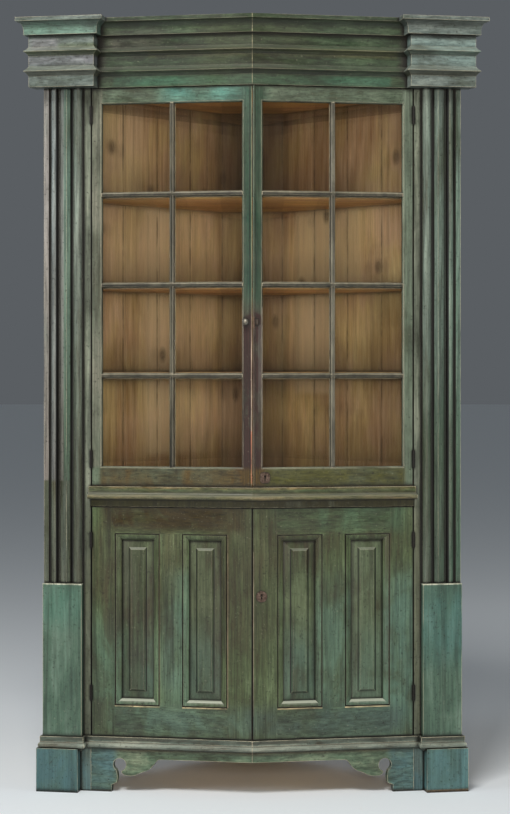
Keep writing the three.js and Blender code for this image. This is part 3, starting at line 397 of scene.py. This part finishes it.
    # Ragged soot and painted shade along the shelves, from ambient occlusion
    fibrous = add(tree, "Math", (fibres, 0.6), operation="ADD")
    shelf_soot_and_shade = add(tree, "Math", (crevice_shade_mask(tree, 26), fibrous), operation="MULTIPLY")
    wood = laid(tree, wood, "160d08", shelf_soot_and_shade, 0.8, [(0.34, 0.0), (0.52, 1.0)])
    bump = add(tree, "Bump", {"Strength": 0.3, "Distance": 0.5 * MM, "Height": fibres})
    return surfaced(material, {"Base Color": wood, "Roughness": 0.68, "IOR": 1.45, "Normal": bump})


def dark_iron(name, face="100f0e", rough=0.6, rust="1d1511"):
    """Wrought iron, forged and blackened by age: nearly black, brown rust bloom in blotches."""
    material, tree = new_material(name)
    place = object_place(tree)[0]
    blotch = add(tree, "TexNoise", sized(place, 9, 5.0, 0.7))
    metal = add(tree, "ValToRGB", (blotch,), stops=[(0.42, linear(face)), (0.7, linear(rust))])
    hammered = add(tree, "TexNoise", sized(place, 3, 5.0, 0.7))
    bump = add(tree, "Bump", {"Strength": 0.4, "Distance": 0.3 * MM, "Height": hammered})
    return surfaced(material, {"Base Color": metal, "Metallic": 0.4, "Roughness": rough, "Normal": bump})


def dull_metal(name, bright, tarnish, rough, keyhole_shade=()):
    """A cast or rolled soft metal handled for years: bright where rubbed, grey-brown tarnish in the pits,
    and painted black as shade in a keyhole. Keyhole shade places are (X low, X high, Z low, Z high) in mm."""
    material, tree = new_material(name)
    place, across, height = object_place(tree)
    blotch = add(tree, "TexNoise", sized(place, 6, 5.0, 0.7))
    metal = add(tree, "ValToRGB", (blotch,), stops=[(0.36, linear(tarnish)), (0.62, linear(bright))])
    # Painted shade: black where the keyholes are
    for limits in keyhole_shade:
        metal = laid(tree, metal, "060404", rectangle(tree, across, height, limits))
    handled = add(tree, "ValToRGB", (blotch,), stops=[(0.3, rough + 0.2), (0.7, rough)])
    bump = add(tree, "Bump", {"Strength": 0.3, "Distance": 0.2 * MM, "Height": blotch})
    return surfaced(material, {"Base Color": metal, "Metallic": 0.85, "Roughness": handled, "Normal": bump})


def old_window_glass(name):
    """Blown window glass, cut from a spun disc: clear, faintly green, with slow waves; thin enough that most
    light goes straight through, so it is mostly see-through with a weak reflection."""
    material, tree = new_material(name)
    waves = add(tree, "TexNoise", sized(object_place(tree)[0], 90, 2.0, 0.4, 0.6))
    bump = add(tree, "Bump", {"Strength": 0.12, "Distance": 1.0 * MM, "Height": waves})
    return surfaced(material, {"Base Color": linear("e9f0ea"), "Roughness": 0.04, "IOR": 1.5,
                               "Transmission Weight": 1.0, "Alpha": 0.25, "Normal": bump})


def old_putty(name):
    """Linseed putty, knifed in by hand and painted over long ago: chalky, cracked, stained brown."""
    material, tree = new_material(name)
    place = object_place(tree)[0]
    stain = add(tree, "TexNoise", sized(place, 18, 5.0, 0.7))
    chalk = add(tree, "ValToRGB", (stain,), stops=[(0.35, linear("5d5445")), (0.65, linear("8d8571"))])
    cracks = add(tree, "TexNoise", sized(place, 5, 5.0, 0.75))
    bump = add(tree, "Bump", {"Strength": 0.5, "Distance": 0.5 * MM, "Height": cracks})
    return surfaced(material, {"Base Color": chalk, "Roughness": 0.85, "Normal": bump})


def matt_floor(name):
    """Seamless studio floor: plain, pale and matt."""
    return surfaced(new_material(name)[0], {"Base Color": linear("f1f8ff"), "Roughness": 0.9})


# Mesh helpers

def mesh_piece(name, build, material, body):
    """A new mesh object: build fills a bmesh; the piece rides on a body."""
    mesh = bpy.data.meshes.new(name)
    work = bmesh.new()
    build(work)
    bmesh.ops.recalc_face_normals(work, faces=work.faces)
    work.to_mesh(mesh)
    work.free()
    mesh.materials.append(material)
    piece = bpy.data.objects.new(name, mesh)
    bpy.context.scene.collection.objects.link(piece)
    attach(piece, body)
    return piece


def hull_box(work, corners):
    """A closed six-sided block from eight corners: four in front, then the four behind them."""
    points = [work.verts.new(corner) for corner in corners]
    for face in ((0, 1, 2, 3), (7, 6, 5, 4), (0, 4, 5, 1), (1, 5, 6, 2), (2, 6, 7, 3), (3, 7, 4, 0)):
        work.faces.new([points[at] for at in face])


def finish_node(node, material, bevel_mm=0.0):
    """Gives a CAD node its material and, where asked, softly rounded arrises."""
    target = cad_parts[node]
    target.data.materials.clear()
    target.data.materials.append(material)
    if bevel_mm > 0:
        rounding = target.modifiers.new("arris", "BEVEL")
        rounding.width = bevel_mm * MM
        rounding.segments = 2
        rounding.limit_method = "ANGLE"
        rounding.angle_limit = math.radians(35)


# Settings a user would change

def colour_setting(title, note, code):
    """A colour that the user may change, with a hex value as its default."""
    return bpy.props.FloatVectorProperty(name=title, description=note, subtype="COLOR", size=3, min=0.0,
                                         max=1.0, default=linear(code)[:3])


class CupboardPaint(bpy.types.PropertyGroup):
    """Colours of the old paint and the bare wood"""

    teal: colour_setting("Teal coat", "Main green coat of the plinths", "475f50")
    pine: colour_setting("Pine", "Planed pine inside the cupboard", "dac5a0")
    pine_dark: colour_setting("Late wood", "Dark lines of the pine's grain", "a98a60")
    wear: bpy.props.FloatProperty(name="Wear", description="How much pale wood shows along the arrises",
                                  subtype="FACTOR", min=0.0, max=1.0, default=0.7)


class CupboardSizes(bpy.types.PropertyGroup):
    """Sizes of the small pieces"""

    pane: bpy.props.FloatProperty(name="Pane thickness", description="Thickness of each light of glass",
                                  subtype="DISTANCE", unit="LENGTH", default=2.2 * MM)
    putty: bpy.props.FloatProperty(name="Putty width", description="Width of the putty fillet round a light",
                                   subtype="DISTANCE", unit="LENGTH", default=6.5 * MM)
    arris: bpy.props.FloatProperty(name="Arris", description="Rounding of the painted edges",
                                   subtype="DISTANCE", unit="LENGTH", default=0.9 * MM)
    screw: bpy.props.FloatProperty(name="Screw head", description="Diameter of a hinge screw's head",
                                   subtype="DISTANCE", unit="LENGTH", default=6.0 * MM)


# Stage

class CUPBOARD_OT_stage(bpy.types.Operator):
    """Pale floor, soft studio light and the camera at the photograph's viewing angle"""

    bl_idname = "cupboard.stage"
    bl_label = "Stage"

    def execute(self, context):
        scene = context.scene
        scene.view_settings.view_transform = "Standard"
        mesh = bpy.data.meshes.new("floor")
        half = 60.0
        corners = [(-half, -half, 0), (half, -half, 0), (half, half, 0), (-half, half, 0)]
        mesh.from_pydata(corners, [], [(0, 1, 2, 3)])
        mesh.materials.append(matt_floor("Matt studio floor"))
        floor = bpy.data.objects.new("floor", mesh)
        scene.collection.objects.link(floor)

        world = bpy.data.worlds.new("Pale studio")
        scene.world = world
        world.use_nodes = True
        tree = world.node_tree
        tree.nodes.clear()
        lit = add(tree, "Background", {"Color": linear("d5dadd"), "Strength": 0.2})
        seen = add(tree, "Background", {"Color": linear("5a5e62"), "Strength": 1.0})
        rays = add(tree, "LightPath").node.outputs
        through = add(tree, "Math", (rays["Is Glossy Ray"], rays["Is Transmission Ray"]), operation="MAXIMUM")
        direct = add(tree, "Math", (rays["Is Camera Ray"], through), operation="MAXIMUM")
        add(tree, "OutputWorld", {"Surface": add(tree, "MixShader", (direct, lit, seen))})

        lamps = [
            ("overhead", (-0.9, -3.4, 5.0), (0.0, 0.0, 1.0), 1.6, 215.0, "fbf8f2"),
            ("left", (-4.2, -2.4, 2.4), (0.0, 0.0, 1.3), 1.6, 42.0, "f2f6fb"),
            ("right", (4.2, -2.4, 2.4), (0.0, 0.0, 1.3), 1.6, 26.0, "f2f6fb"),
            ("front", (0.1, -6.9, 1.6), (0.0, 0.1, 1.2), 1.0, 155.0, "fff2de"),
        ]
        for name, place, target, size, power, tint in lamps:
            lamp = bpy.data.lights.new(name, "AREA")
            lamp.size = size
            lamp.energy = power
            lamp.color = linear(tint)[:3]
            holder = bpy.data.objects.new(name, lamp)
            scene.collection.objects.link(holder)
            holder.location = place
            holder.rotation_euler = (Vector(target) - Vector(place)).to_track_quat("-Z", "Y").to_euler()

        camera = bpy.data.cameras.new("camera")
        camera.sensor_width = 36.0
        camera.lens = FOCAL_MM
        camera.shift_x = (PHOTO_WIDTH / 2 - MIDDLE_X) / PHOTO_HEIGHT
        camera.shift_y = (HORIZON_Y - PHOTO_HEIGHT / 2) / PHOTO_HEIGHT
        camera.clip_end = 120.0
        viewer = bpy.data.objects.new("camera", camera)
        scene.collection.objects.link(viewer)
        viewer.location = (0.0, PROW_Y - CAMERA_DISTANCE, EYE_HEIGHT)
        viewer.rotation_euler = (math.radians(90), 0.0, 0.0)
        scene.camera = viewer
        return {"FINISHED"}


# Painted front

class CUPBOARD_OT_front(bpy.types.Operator):
    """Old green paint on the cornice, stiles, pilasters, plinths, mouldings and aprons"""

    bl_idname = "cupboard.front"
    bl_label = "Painted front"

    def execute(self, context):
        paint = context.scene.cupboard_paint
        arris = context.scene.cupboard_sizes.arris / MM
        wear = paint.wear
        block = old_paint("Chalky green oil paint on pine", "5d6763", "434b43", "7b847d", 0, wear, [
            ("4f7a67", -700, -430, 2180, 2222, 8, 0.6), ("7a747c", -640, -560, 2140, 2180, 12, 0.5),
            ("746f7c", -700, -430, 2098, 2126, 8, 0.5), ("4b5536", -700, 700, 2127, 2139, 3, 0.9),
            ("5d6a48", -560, -440, 2146, 2160, 6, 0.6), ("4b4a38", -700, 700, 2068, 2082, 3, 0.9),
            ("6c8380", 420, 700, 2090, 2180, 20, 0.6),
        ], rub_mm=1.8, dust_and_light=0.15)
        run = old_paint("Shaded green oil paint on pine", "2c3a29", "20261a", "465540", 0, 0.5 * wear, [
            ("335a48", -400, 400, 2040, 2066, 8, 0.6), ("494a2c", -300, 420, 2120, 2142, 6, 0.8),
            # The dark strips beside the cornice blocks are painted shadow cast by the blocks
            ("4e4542", -420, -250, 2140, 2190, 30, 0.6), ("1d1618", -470, -425, 2060, 2190, 14, 0.9),
            ("1d1618", 425, 470, 2060, 2190, 14, 0.9), ("34371f", -160, 160, 2040, 2220, 60, 0.6),
            ("cbbf9f", -1.0, 1.0, 2040, 2240, 0.6, 0.45),
        ], rub_mm=1.8, dust_and_light=0.08)
        # Painted shade: black in the quirks between the reeds
        reed_shade_lines = [(low, high, 598, 2046) for low, high in REED_GAPS]
        upright = old_paint("Brushed green oil paint on pine", "59645c", "40463a", "808a80", 2, 1.3 * wear, [
            ("2c3019", -700, 700, 560, 1150, 260, 1.15), ("44705e", 540, 700, 560, 2000, 120, 0.45),
            ("857d7c", -608, -590, 900, 2040, 2, 0.7), ("46695a", -546, -524, 900, 2040, 3, 0.6),
            ("757b88", -589, -567, 900, 2040, 6, 0.4), ("8b8a88", -562, -548, 900, 2040, 3, 0.5),
            ("51462f", -640, -540, 500, 1600, 150, 0.35),
        ], rub_mm=1.6, shade_and_soil_mm=9, patch=0.2, brush=1.0, gaps=reed_shade_lines)
        stiles = old_paint("Green oil paint on pine rails", "60675a", "40453a", "858a7a", 2, wear, [
            # The first tint is painted shadow of the waist moulding on the rail below it
            ("262202", -470, 470, 822, 862, 2, 2.2), ("44646a", -700, 700, -20, 128, 10, 0.9),
            ("4a4d38", -700, 700, 150, 820, 60, 0.7),
        ], rub_mm=1.2, shade_and_soil_mm=8, gaps=[(475, 476.8, 140, 860), (475, 476.8, 878, 2045)])
        plinth = old_paint("Teal oil paint on pine", paint.teal, "384c41", "5f7567", 2, wear, [
            ("3f7466", -700, -480, 480, 600, 40, 0.3), ("3a6f70", 480, 700, 380, 600, 60, 0.4),
            ("3f6066", -700, 700, -20, 128, 12, 0.85), ("5a8082", 480, 700, -20, 128, 12, 0.5),
            # The pale line along the top ledge of each plinth is a painted highlight
            ("a07b4e", 500, 640, -4, 8, 2, 0.9), ("c3c7b4", -700, 700, 598.5, 604, 0.8, 1.0),
        ], brush=0.45)
        waist = old_paint("Rubbed olive oil paint on pine", "5a5637", "3c3f27", "8f7850", 0, 0.9, [
            ("3f5a42", -500, 500, 868, 878, 3, 0.6), ("3c4128", -500, 500, 854, 873, 3, 0.55),
        ], rub_mm=2.0, brush=1.0)
        base = old_paint("Blue-green oil paint on pine", "59675e", "38372a", "8b9080", 0, 0.9, [
            # The pale band low on the moulding is a painted highlight on its most projecting part
            ("a0aba2", -700, 700, 129, 146, 3, 0.35), ("33332a", -700, 700, 149, 172, 2, 0.85),
        ], brush=0.5)
        apron = old_paint("Dark teal oil paint on pine", "50634f", "394331", "76826a", 0, wear, [
            ("a07b4e", -560, -400, -4, 5, 2, 0.6), ("a07b4e", 400, 560, -4, 6, 2, 0.8),
            ("7d6a50", -400, 400, 119, 132, 6, 0.6), ("44646a", -500, -395, -20, 128, 14, 0.85),
            ("44646a", 395, 500, -20, 128, 14, 0.85),
        ])
        for side in ("left", "right"):
            for part, finish in (("cornice_block", block), ("pilaster", upright), ("stile", stiles),
                                 ("pedestal", plinth), ("base_moulding", base), ("apron", apron)):
                finish_node(f"{side}_{part}", finish, arris)
        finish_node("cornice_run", run, arris)
        finish_node("waist_moulding", waist, arris)
        finish_node("head_rail", stiles)
        finish_node("waist_rail", stiles)
        return {"FINISHED"}


# Doors

class CUPBOARD_OT_doors(bpy.types.Operator):
    """Old green paint on the glazed doors, their sash bars, and the panelled doors"""

    bl_idname = "cupboard.doors"
    bl_label = "Doors"

    def execute(self, context):
        wear = context.scene.cupboard_paint.wear
        arris = context.scene.cupboard_sizes.arris / MM
        low, high = (corner.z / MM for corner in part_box("right_lower_door_frame"))
        upper = old_paint("Green oil paint on door pine", "4a5747", "363b2c", "697663", 2, wear, [
            ("716f62", -500, -434, 940, 2040, 6, 0.8), ("5f6a5c", 434, 500, 940, 2040, 6, 0.7),
            ("4d857c", -260, -10, 1985, 2060, 40, 0.65), ("18372a", -34, 34, 1400, 2040, 40, 1.4),
            ("1b2f1a", 3, 34, 1400, 2040, 6, 0.4), ("3f4639", 60, 440, 1990, 2040, 10, 0.3),
            ("2e1816", -36, 34, 900, 1385, 40, 2.6), ("4a3812", -440, 440, 880, 938, 10, 0.95),
            ("364a1a", 34, 440, 880, 938, 10, 0.45), ("7d7a50", -3.4, -1.0, 1375, 2037, 0.7, 0.5),
            ("b39c8a", -3.6, -1.0, 1040, 1375, 0.7, 0.9), ("b9694a", -3.8, -0.8, 895, 1045, 0.7, 1.0),
            # Painted highlights on the stiles' sight edges, 27 to 31 mm either side of the middle; beside the
            # knob, worn wood with painted shadow of the knob
            ("8c8884", 17, 26, 1100, 1350, 0.5, 0.2), ("b9b0a2", 27.4, 30.6, 944, 1400, 0.6, 0.9),
            ("9c9686", -30.6, -28, 944, 1420, 0.6, 0.7), ("5b3a26", 0, 7, 1340, 1372, 1.0, 1.0),
        ], rails=UPPER_RAILS, rub_mm=1.7,
            gaps=[(-3, 0.6, 885, 2045), (471.8, 474, 885, 2045), (6.8, 8.2, 885, 2045)])
        # Each level bar gets a painted highlight along its top and painted shade along its foot
        bar_top_highlights = [("b3ac96", -440, 440, level + 3, level + 9, 1.5, 0.3) for level in BAR_LEVELS]
        bar_foot_shade = [("0e0c08", -440, 440, level - 12, level - 3, 1.5, 0.9) for level in BAR_LEVELS]
        bars = old_paint("Green oil paint on sash bars", "2b2a22", "1d1b15", "4c483c", 2, 1.0, [
            ("8a8878", 226, 240, 944, 1989, 3, 0.4), *bar_top_highlights, *bar_foot_shade,
        ], rub_mm=2.4, dust_and_light=0.1)
        # The pale thin ones are the lit inner edges of the openings, seen round each panel
        lower = old_paint("Olive oil paint on door pine", "3f4a2f", "34331f", "5c6c4c", 2, wear, [
            ("4f6f60", -480, -300, 150, 500, 70, 0.6), ("4f7062", -250, -170, 250, 640, 30, 0.45),
            ("6b857a", -262, -214, 300, 540, 40, 0.35), ("5a5238", -262, -214, 560, 760, 30, 0.4),
            ("4b695e", 150, 480, 150, 600, 90, 0.6), ("557c76", 404, 472, 180, 640, 50, 0.3),
            ("3a2a1a", -130, 130, 640, 840, 50, 0.45), ("302710", -440, -20, 755, 840, 20, 1.0),
            ("3d5c48", 60, 440, 755, 840, 20, 0.6), ("4b625a", -400, 0, 165, 250, 30, 0.7),
            ("364440", 0, 440, 165, 250, 30, 0.75), ("4a3f30", -470, -405, 560, 760, 30, 0.45),
            ("35261a", -75, 60, 440, 680, 40, 0.45), ("96806a", -71.8, -69, 252, 748, 0.5, 0.6),
            ("7c6450", -268.6, -266, 252, 748, 0.5, 0.5), ("96806a", 199.6, 202, 252, 748, 0.5, 0.4),
            ("96806a", 395.6, 398.4, 252, 748, 0.5, 0.4), ("a2937c", 2.8, 4.6, 230, 700, 0.5, 0.8),
            ("c2b08a", 72, 202, 247, 250.4, 0.5, 0.9), ("c2b08a", 267, 398, 247, 250.4, 0.5, 0.9),
            ("c2b08a", -202, -72, 247, 250.4, 0.5, 0.9), ("c2b08a", -398, -267, 247, 250.4, 0.5, 0.9),
        ], rails=LOWER_RAILS, rub_mm=1.0, dust_and_light=0.85, brush=0.9, shade_and_soil_mm=9,
            # Painted shade: black in the quirk round each panel's opening
            quirks=(INNER_OPENING, OUTER_OPENING),
            gaps=[(-3, 2.8, low - 2, high + 2), (471.8, 474, low - 2, high + 2),
                  (-3, 480, high - 1.6, high + 2), (-3, 480, low - 2, low + 1.2)])
        # Painted shade in the sunk lines at both sides of each panel's raised field
        field_shade_lines = [(middle + edge, middle + edge + 2.6, 292, 706)
                       for middle in (139, 338) for edge in (-27, 24.4)]
        panel = old_paint("Olive oil paint on raised panels", "404a32", "33301f", "5c684c", 2, wear, [
            ("46635a", -500, 500, 240, 460, 90, 0.6), ("4f4a44", -460, -340, 500, 760, 60, 0.6),
            ("39372a", -205, -70, 240, 760, 10, 0.35), ("61705a", 268, 408, 240, 760, 10, 0.3),
        ], rub_mm=1.2, dust_and_light=0.25, brush=0.6, shade_and_soil_mm=9, gaps=field_shade_lines)
        for side in ("left", "right"):
            finish_node(f"{side}_upper_door_frame", upper, arris)
            finish_node(f"{side}_sash_bars", bars, arris / 2)
            finish_node(f"{side}_lower_door_frame", lower, arris)
            finish_node(f"{side}_inner_panel", panel, arris)
            finish_node(f"{side}_outer_panel", panel, arris)
        return {"FINISHED"}


# Bare pine inside and behind

class CUPBOARD_OT_pine(bpy.types.Operator):
    """Bare pine on the back boards, shelves, ceiling, deck and bottom"""

    bl_idname = "cupboard.pine"
    bl_label = "Bare pine"

    def execute(self, context):
        paint = context.scene.cupboard_paint
        # Darker up the middle and towards the top, paler in patches
        walls = bare_pine("Planed pine back boards", "fbeecd", paint.pine, paint.pine_dark, 2, tints=[
            ("2a190e", -112, 112, 900, 2060, 8, 0.34), ("3a2614", -270, 270, 1750, 2060, 60, 0.3),
            ("150c07", -115, 115, 1730, 2060, 30, 0.45), ("fff0cc", -325, -245, 960, 1740, 14, 0.5),
            ("fff0cc", -480, -325, 1480, 2060, 30, 0.2), ("2a190e", 20, 112, 900, 1200, 10, 0.2),
            ("fff0cc", -245, -118, 960, 1740, 12, 0.25), ("fff0cc", 135, 240, 1150, 1740, 14, 0.6),
            ("fff0cc", 255, 330, 1460, 1740, 14, 0.4), ("3a2614", 255, 480, 1760, 2060, 40, 0.2),
            ("3a2614", 335, 480, 900, 1500, 20, 0.25), ("2a1b10", -480, 480, 880, 943, 8, 0.45),
        ])
        level = bare_pine("Planed pine shelves", "e8c893", "cca671", paint.pine_dark, 0, knots=False,
                          shade=0.6)
        for node in ("left_back_boards", "right_back_boards", "rear_board"):
            finish_node(node, walls)
        worn_edge = 0.8
        for node in ("ceiling_board", "upper_shelf_1", "upper_shelf_2", "upper_shelf_3", "lower_shelf",
                     "deck_board", "bottom_board"):
            finish_node(node, level, worn_edge)
        return {"FINISHED"}


# Window lights

def light_cells():
    """The eight lights of a door: (inner reach, outer reach, bottom, top) of each, in metres."""
    glazing_low, glazing_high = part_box("right_glazing")
    inner = (glazing_low.x + GLASS_BACK_MM * MM * math.sin(CANT)) / math.cos(CANT)
    outer = (glazing_high.x + GLASS_FRONT_MM * MM * math.sin(CANT)) / math.cos(CANT)
    gap = TONGUE_MM * MM / 2
    middle_reach = (inner + outer) / 2
    pitch = (glazing_high.z - glazing_low.z - 2 * REBATE_MM * MM) / LIGHT_ROWS
    cells = []
    for row in range(LIGHT_ROWS):
        bottom = glazing_low.z + (REBATE_MM * MM if row else 0) + row * pitch + (gap if row else 0)
        top_line = glazing_low.z + REBATE_MM * MM + (row + 1) * pitch - gap
        top = glazing_high.z if row == LIGHT_ROWS - 1 else top_line
        cells.append((inner, middle_reach - gap, bottom, top))
        cells.append((middle_reach + gap, outer, bottom, top))
    return cells


def wavy_pane(work, side, cell, thickness, seed):
    """One light as a thin slab whose two faces wander by a tenth of a millimetre."""
    inner, outer, bottom, top = cell
    columns, rows = 5, 6
    height_of_wave = 0.12 * MM
    sheets = []
    for depth in (GLASS_FRONT_MM * MM, GLASS_FRONT_MM * MM + thickness):
        sheet = []
        for row in range(rows + 1):
            for column in range(columns + 1):
                along, up = column / columns, row / rows
                wave = height_of_wave * math.sin(5.0 * along + 3.0 * up + seed)
                reach = inner + (outer - inner) * along
                height = bottom + (top - bottom) * up
                sheet.append(work.verts.new(front_point(side, reach, depth + wave, height)))
        sheets.append(sheet)
    width = columns + 1
    for sheet in sheets:
        for row in range(rows):
            for column in range(columns):
                at = row * width + column
                work.faces.new([sheet[at], sheet[at + 1], sheet[at + 1 + width], sheet[at + width]])
    rim = list(range(columns))
    rim += [row * width + columns for row in range(rows)]
    rim += [rows * width + column for column in range(columns, 0, -1)]
    rim += [row * width for row in range(rows, 0, -1)]
    for at, here in enumerate(rim):
        there = rim[(at + 1) % len(rim)]
        work.faces.new([sheets[0][here], sheets[0][there], sheets[1][there], sheets[1][here]])


class CUPBOARD_OT_lights(bpy.types.Operator):
    """Sixteen lights of old window glass, with the bars' tongues and putty fillets behind them"""

    bl_idname = "cupboard.lights"
    bl_label = "Window lights"

    def execute(self, context):
        sizes = context.scene.cupboard_sizes
        glass = old_window_glass("Blown window glass")
        putty = old_putty("Linseed putty")
        bar_paint = bpy.data.materials["Green oil paint on sash bars"]
        cells = light_cells()
        for side, sign in (("left", -1), ("right", 1)):

            def build_panes(work):
                for at, cell in enumerate(cells):
                    wavy_pane(work, sign, cell, sizes.pane, at * 1.7 + sign)

            door = f"{side}_upper_door"
            panes = mesh_piece(f"{side}_window_lights", build_panes, glass, door)
            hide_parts(f"{side}_glazing")

            def build_putty(work):
                for cell in cells:
                    putty_fillet(work, sign, cell, sizes.putty, sizes.pane)

            mesh_piece(f"{side}_putty", build_putty, putty, door)

            def build_tongues(work):
                bar_tongues(work, sign, cells)

            mesh_piece(f"{side}_bar_tongues", build_tongues, bar_paint, door)
        return {"FINISHED"}


def putty_fillet(work, side, cell, width, pane):
    """A three-sided fillet run round the back of one light, mitred at its corners."""
    inner, outer, bottom, top = cell
    glass_back = GLASS_FRONT_MM * MM + pane + SLACK_MM * MM
    deep = glass_back + width
    skin = 0.25 * MM
    rings = []
    corners = ((inner, bottom, 1, 1), (outer, bottom, -1, 1), (outer, top, -1, -1), (inner, top, 1, -1))
    for reach, height, in_reach, in_height in corners:
        rings.append([
            work.verts.new(front_point(side, reach + in_reach * inset, depth, height + in_height * inset))
            for inset, depth in ((skin, glass_back), (width, glass_back), (skin, deep))
        ])
    for at, ring in enumerate(rings):
        following = rings[(at + 1) % len(rings)]
        for edge in range(3):
            other = (edge + 1) % 3
            work.faces.new([ring[edge], ring[other], following[other], following[edge]])


def bar_tongues(work, side, cells):
    """The bars' narrow backs, which stand between the lights and hold their putty."""
    half = (TONGUE_MM / 2 - 2 * SLACK_MM) * MM
    slack = SLACK_MM * MM
    front, back = (GLASS_FRONT_MM - SLACK_MM) * MM, TONGUE_BACK_MM * MM
    inner, outer = cells[0][0], cells[1][1]
    bottom, top = cells[0][2], cells[-1][3]
    upright_reach = (cells[0][1] + cells[1][0]) / 2
    spans = [(upright_reach - half, upright_reach + half, bottom + half, top - half)]
    for row in range(1, LIGHT_ROWS):
        level = (cells[2 * row - 1][3] + cells[2 * row][2]) / 2
        spans.append((inner + half, upright_reach - half - slack, level - half, level + half))
        spans.append((upright_reach + half + slack, outer - half, level - half, level + half))
    for low, high, under, over in spans:
        corners = [front_point(side, reach, depth, height) for depth in (front, back)
                   for reach, height in ((low, under), (high, under), (high, over), (low, over))]
        hull_box(work, corners)


# Fittings

def screw_head(work, centre, outward, upward, diameter, proud):
    """A slotted countersunk head seen from outside: two half-round lands either side of the slot."""
    sideways = outward.cross(upward)
    radius = diameter / 2
    slot = diameter * 0.09
    facets = 8
    for half in (-1, 1):
        arc = []
        for step in range(facets + 1):
            angle = math.pi * step / facets
            arc.append((radius * math.cos(angle), slot + (radius - slot) * math.sin(angle)))
        front, back = [], []
        for x, y in arc:
            # The head's face is a little smaller than its foot, and the slot's side stays upright
            face = upward * (x * 0.92) + sideways * (half * (y * 0.94 + slot * 0.06))
            front.append(work.verts.new(centre + outward * proud + face))
            back.append(work.verts.new(centre - outward * proud + upward * x + sideways * (half * y)))
        work.faces.new(front)
        work.faces.new(list(reversed(back)))
        for at in range(len(arc)):
            following = (at + 1) % len(arc)
            work.faces.new([front[at], front[following], back[following], back[at]])


class CUPBOARD_OT_fittings(bpy.types.Operator):
    """Iron hinges with their screws, the pewter latch, the iron bolts and the copper escutcheons"""

    bl_idname = "cupboard.fittings"
    bl_label = "Fittings"

    def execute(self, context):
        iron = dark_iron("Blackened wrought iron")
        bright_iron = dark_iron("Rubbed wrought iron", "4a4540", 0.42, "3c2a1e")
        pewter = dull_metal("Cast pewter", "9f9b8f", "4d483f", 0.36)
        keyholes = []
        # A keyhole, painted black as shade, is broad at the top, with a narrower slot that drops further on
        # the lower plate
        for plate, drop in (("upper_escutcheon", 4.5), ("lower_escutcheon", 9)):
            low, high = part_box(plate)
            middle, level = (low.x + high.x) / 2 / MM, (low.z + high.z) / 2 / MM
            keyholes.append((middle - 2.7, middle + 2.7, level + 2, level + 7))
            keyholes.append((middle - 1.7, middle + 1.7, level - drop, level + 3))
        copper = dull_metal("Rolled copper plate", "6f5f56", "3a2e29", 0.5, keyholes)
        for node in sorted(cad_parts):
            if "hinge" in node:
                finish_node(node, iron)
        finish_node("latch_keeper", bright_iron, 0.3)
        finish_node("latch_knob", pewter)
        for lock in ("upper", "lower"):
            finish_node(f"{lock}_lock_bolt", bright_iron, 0.3)
            finish_node(f"{lock}_escutcheon", copper, 0.2)
        for side, sign in (("left", -1), ("right", 1)):
            for level in ("upper", "lower"):
                for leaf, body in (("stile", "case"), ("door", f"{side}_{level}_door")):
                    self.leaf_screws(context, side, sign, level, leaf, body, iron)
        return {"FINISHED"}

    def leaf_screws(self, context, side, sign, level, leaf, body, iron):
        """Three screws in each of the two leaves of one kind on one door."""
        diameter = context.scene.cupboard_sizes.screw
        proud = 0.12 * MM
        # Share of the leaf's height, and depth behind the front, of each screw
        screws = ((0.17, 12.5), (0.5, 6.5), (0.83, 12.5))

        def build(work):
            for end in ("bottom", "top"):
                low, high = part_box(f"{side}_{level}_{end}_hinge_{leaf}_leaf")
                reach = LEAF_FACE_MM[leaf] * MM
                outward = front_point(sign, 1.0, 0.0, 0.0) - front_point(sign, 0.0, 0.0, 0.0)
                outward = outward if leaf == "door" else -outward
                for share, depth_mm in screws:
                    centre = front_point(sign, reach, depth_mm * MM, low.z + (high.z - low.z) * share)
                    screw_head(work, centre, outward, Vector((0, 0, 1)), diameter, proud)

        mesh_piece(f"{side}_{level}_{leaf}_leaf_screws", build, iron, body)


# Panel, registration and the run as a script

STEPS = ("stage", "front", "doors", "pine", "lights", "fittings")


class CUPBOARD_PT_panel(bpy.types.Panel):
    """The cupboard's settings and steps"""

    bl_idname = "CUPBOARD_PT_panel"
    bl_label = "Corner cupboard"
    bl_space_type = "VIEW_3D"
    bl_region_type = "UI"
    bl_category = "Cupboard"

    def draw(self, context):
        layout = self.layout
        for group in (context.scene.cupboard_paint, context.scene.cupboard_sizes):
            for name in group.bl_rna.properties.keys():
                if name not in ("rna_type", "name"):
                    layout.prop(group, name)
        for step in STEPS:
            layout.operator(f"cupboard.{step}")


CLASSES = (CupboardPaint, CupboardSizes, CUPBOARD_OT_stage, CUPBOARD_OT_front, CUPBOARD_OT_doors,
           CUPBOARD_OT_pine, CUPBOARD_OT_lights, CUPBOARD_OT_fittings, CUPBOARD_PT_panel)


def register():
    """Registers the classes and gives the scene the user's settings."""
    for entry in CLASSES:
        bpy.utils.register_class(entry)
    bpy.types.Scene.cupboard_paint = bpy.props.PointerProperty(type=CupboardPaint)
    bpy.types.Scene.cupboard_sizes = bpy.props.PointerProperty(type=CupboardSizes)


def unregister():
    """Takes the settings and classes away again."""
    del bpy.types.Scene.cupboard_sizes
    del bpy.types.Scene.cupboard_paint
    for entry in reversed(CLASSES):
        bpy.utils.unregister_class(entry)


def main():
    """Dresses the cupboard step by step."""
    register()
    for step in STEPS:
        getattr(bpy.ops.cupboard, step)()
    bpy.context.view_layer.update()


if __name__ == "__main__":
    main()
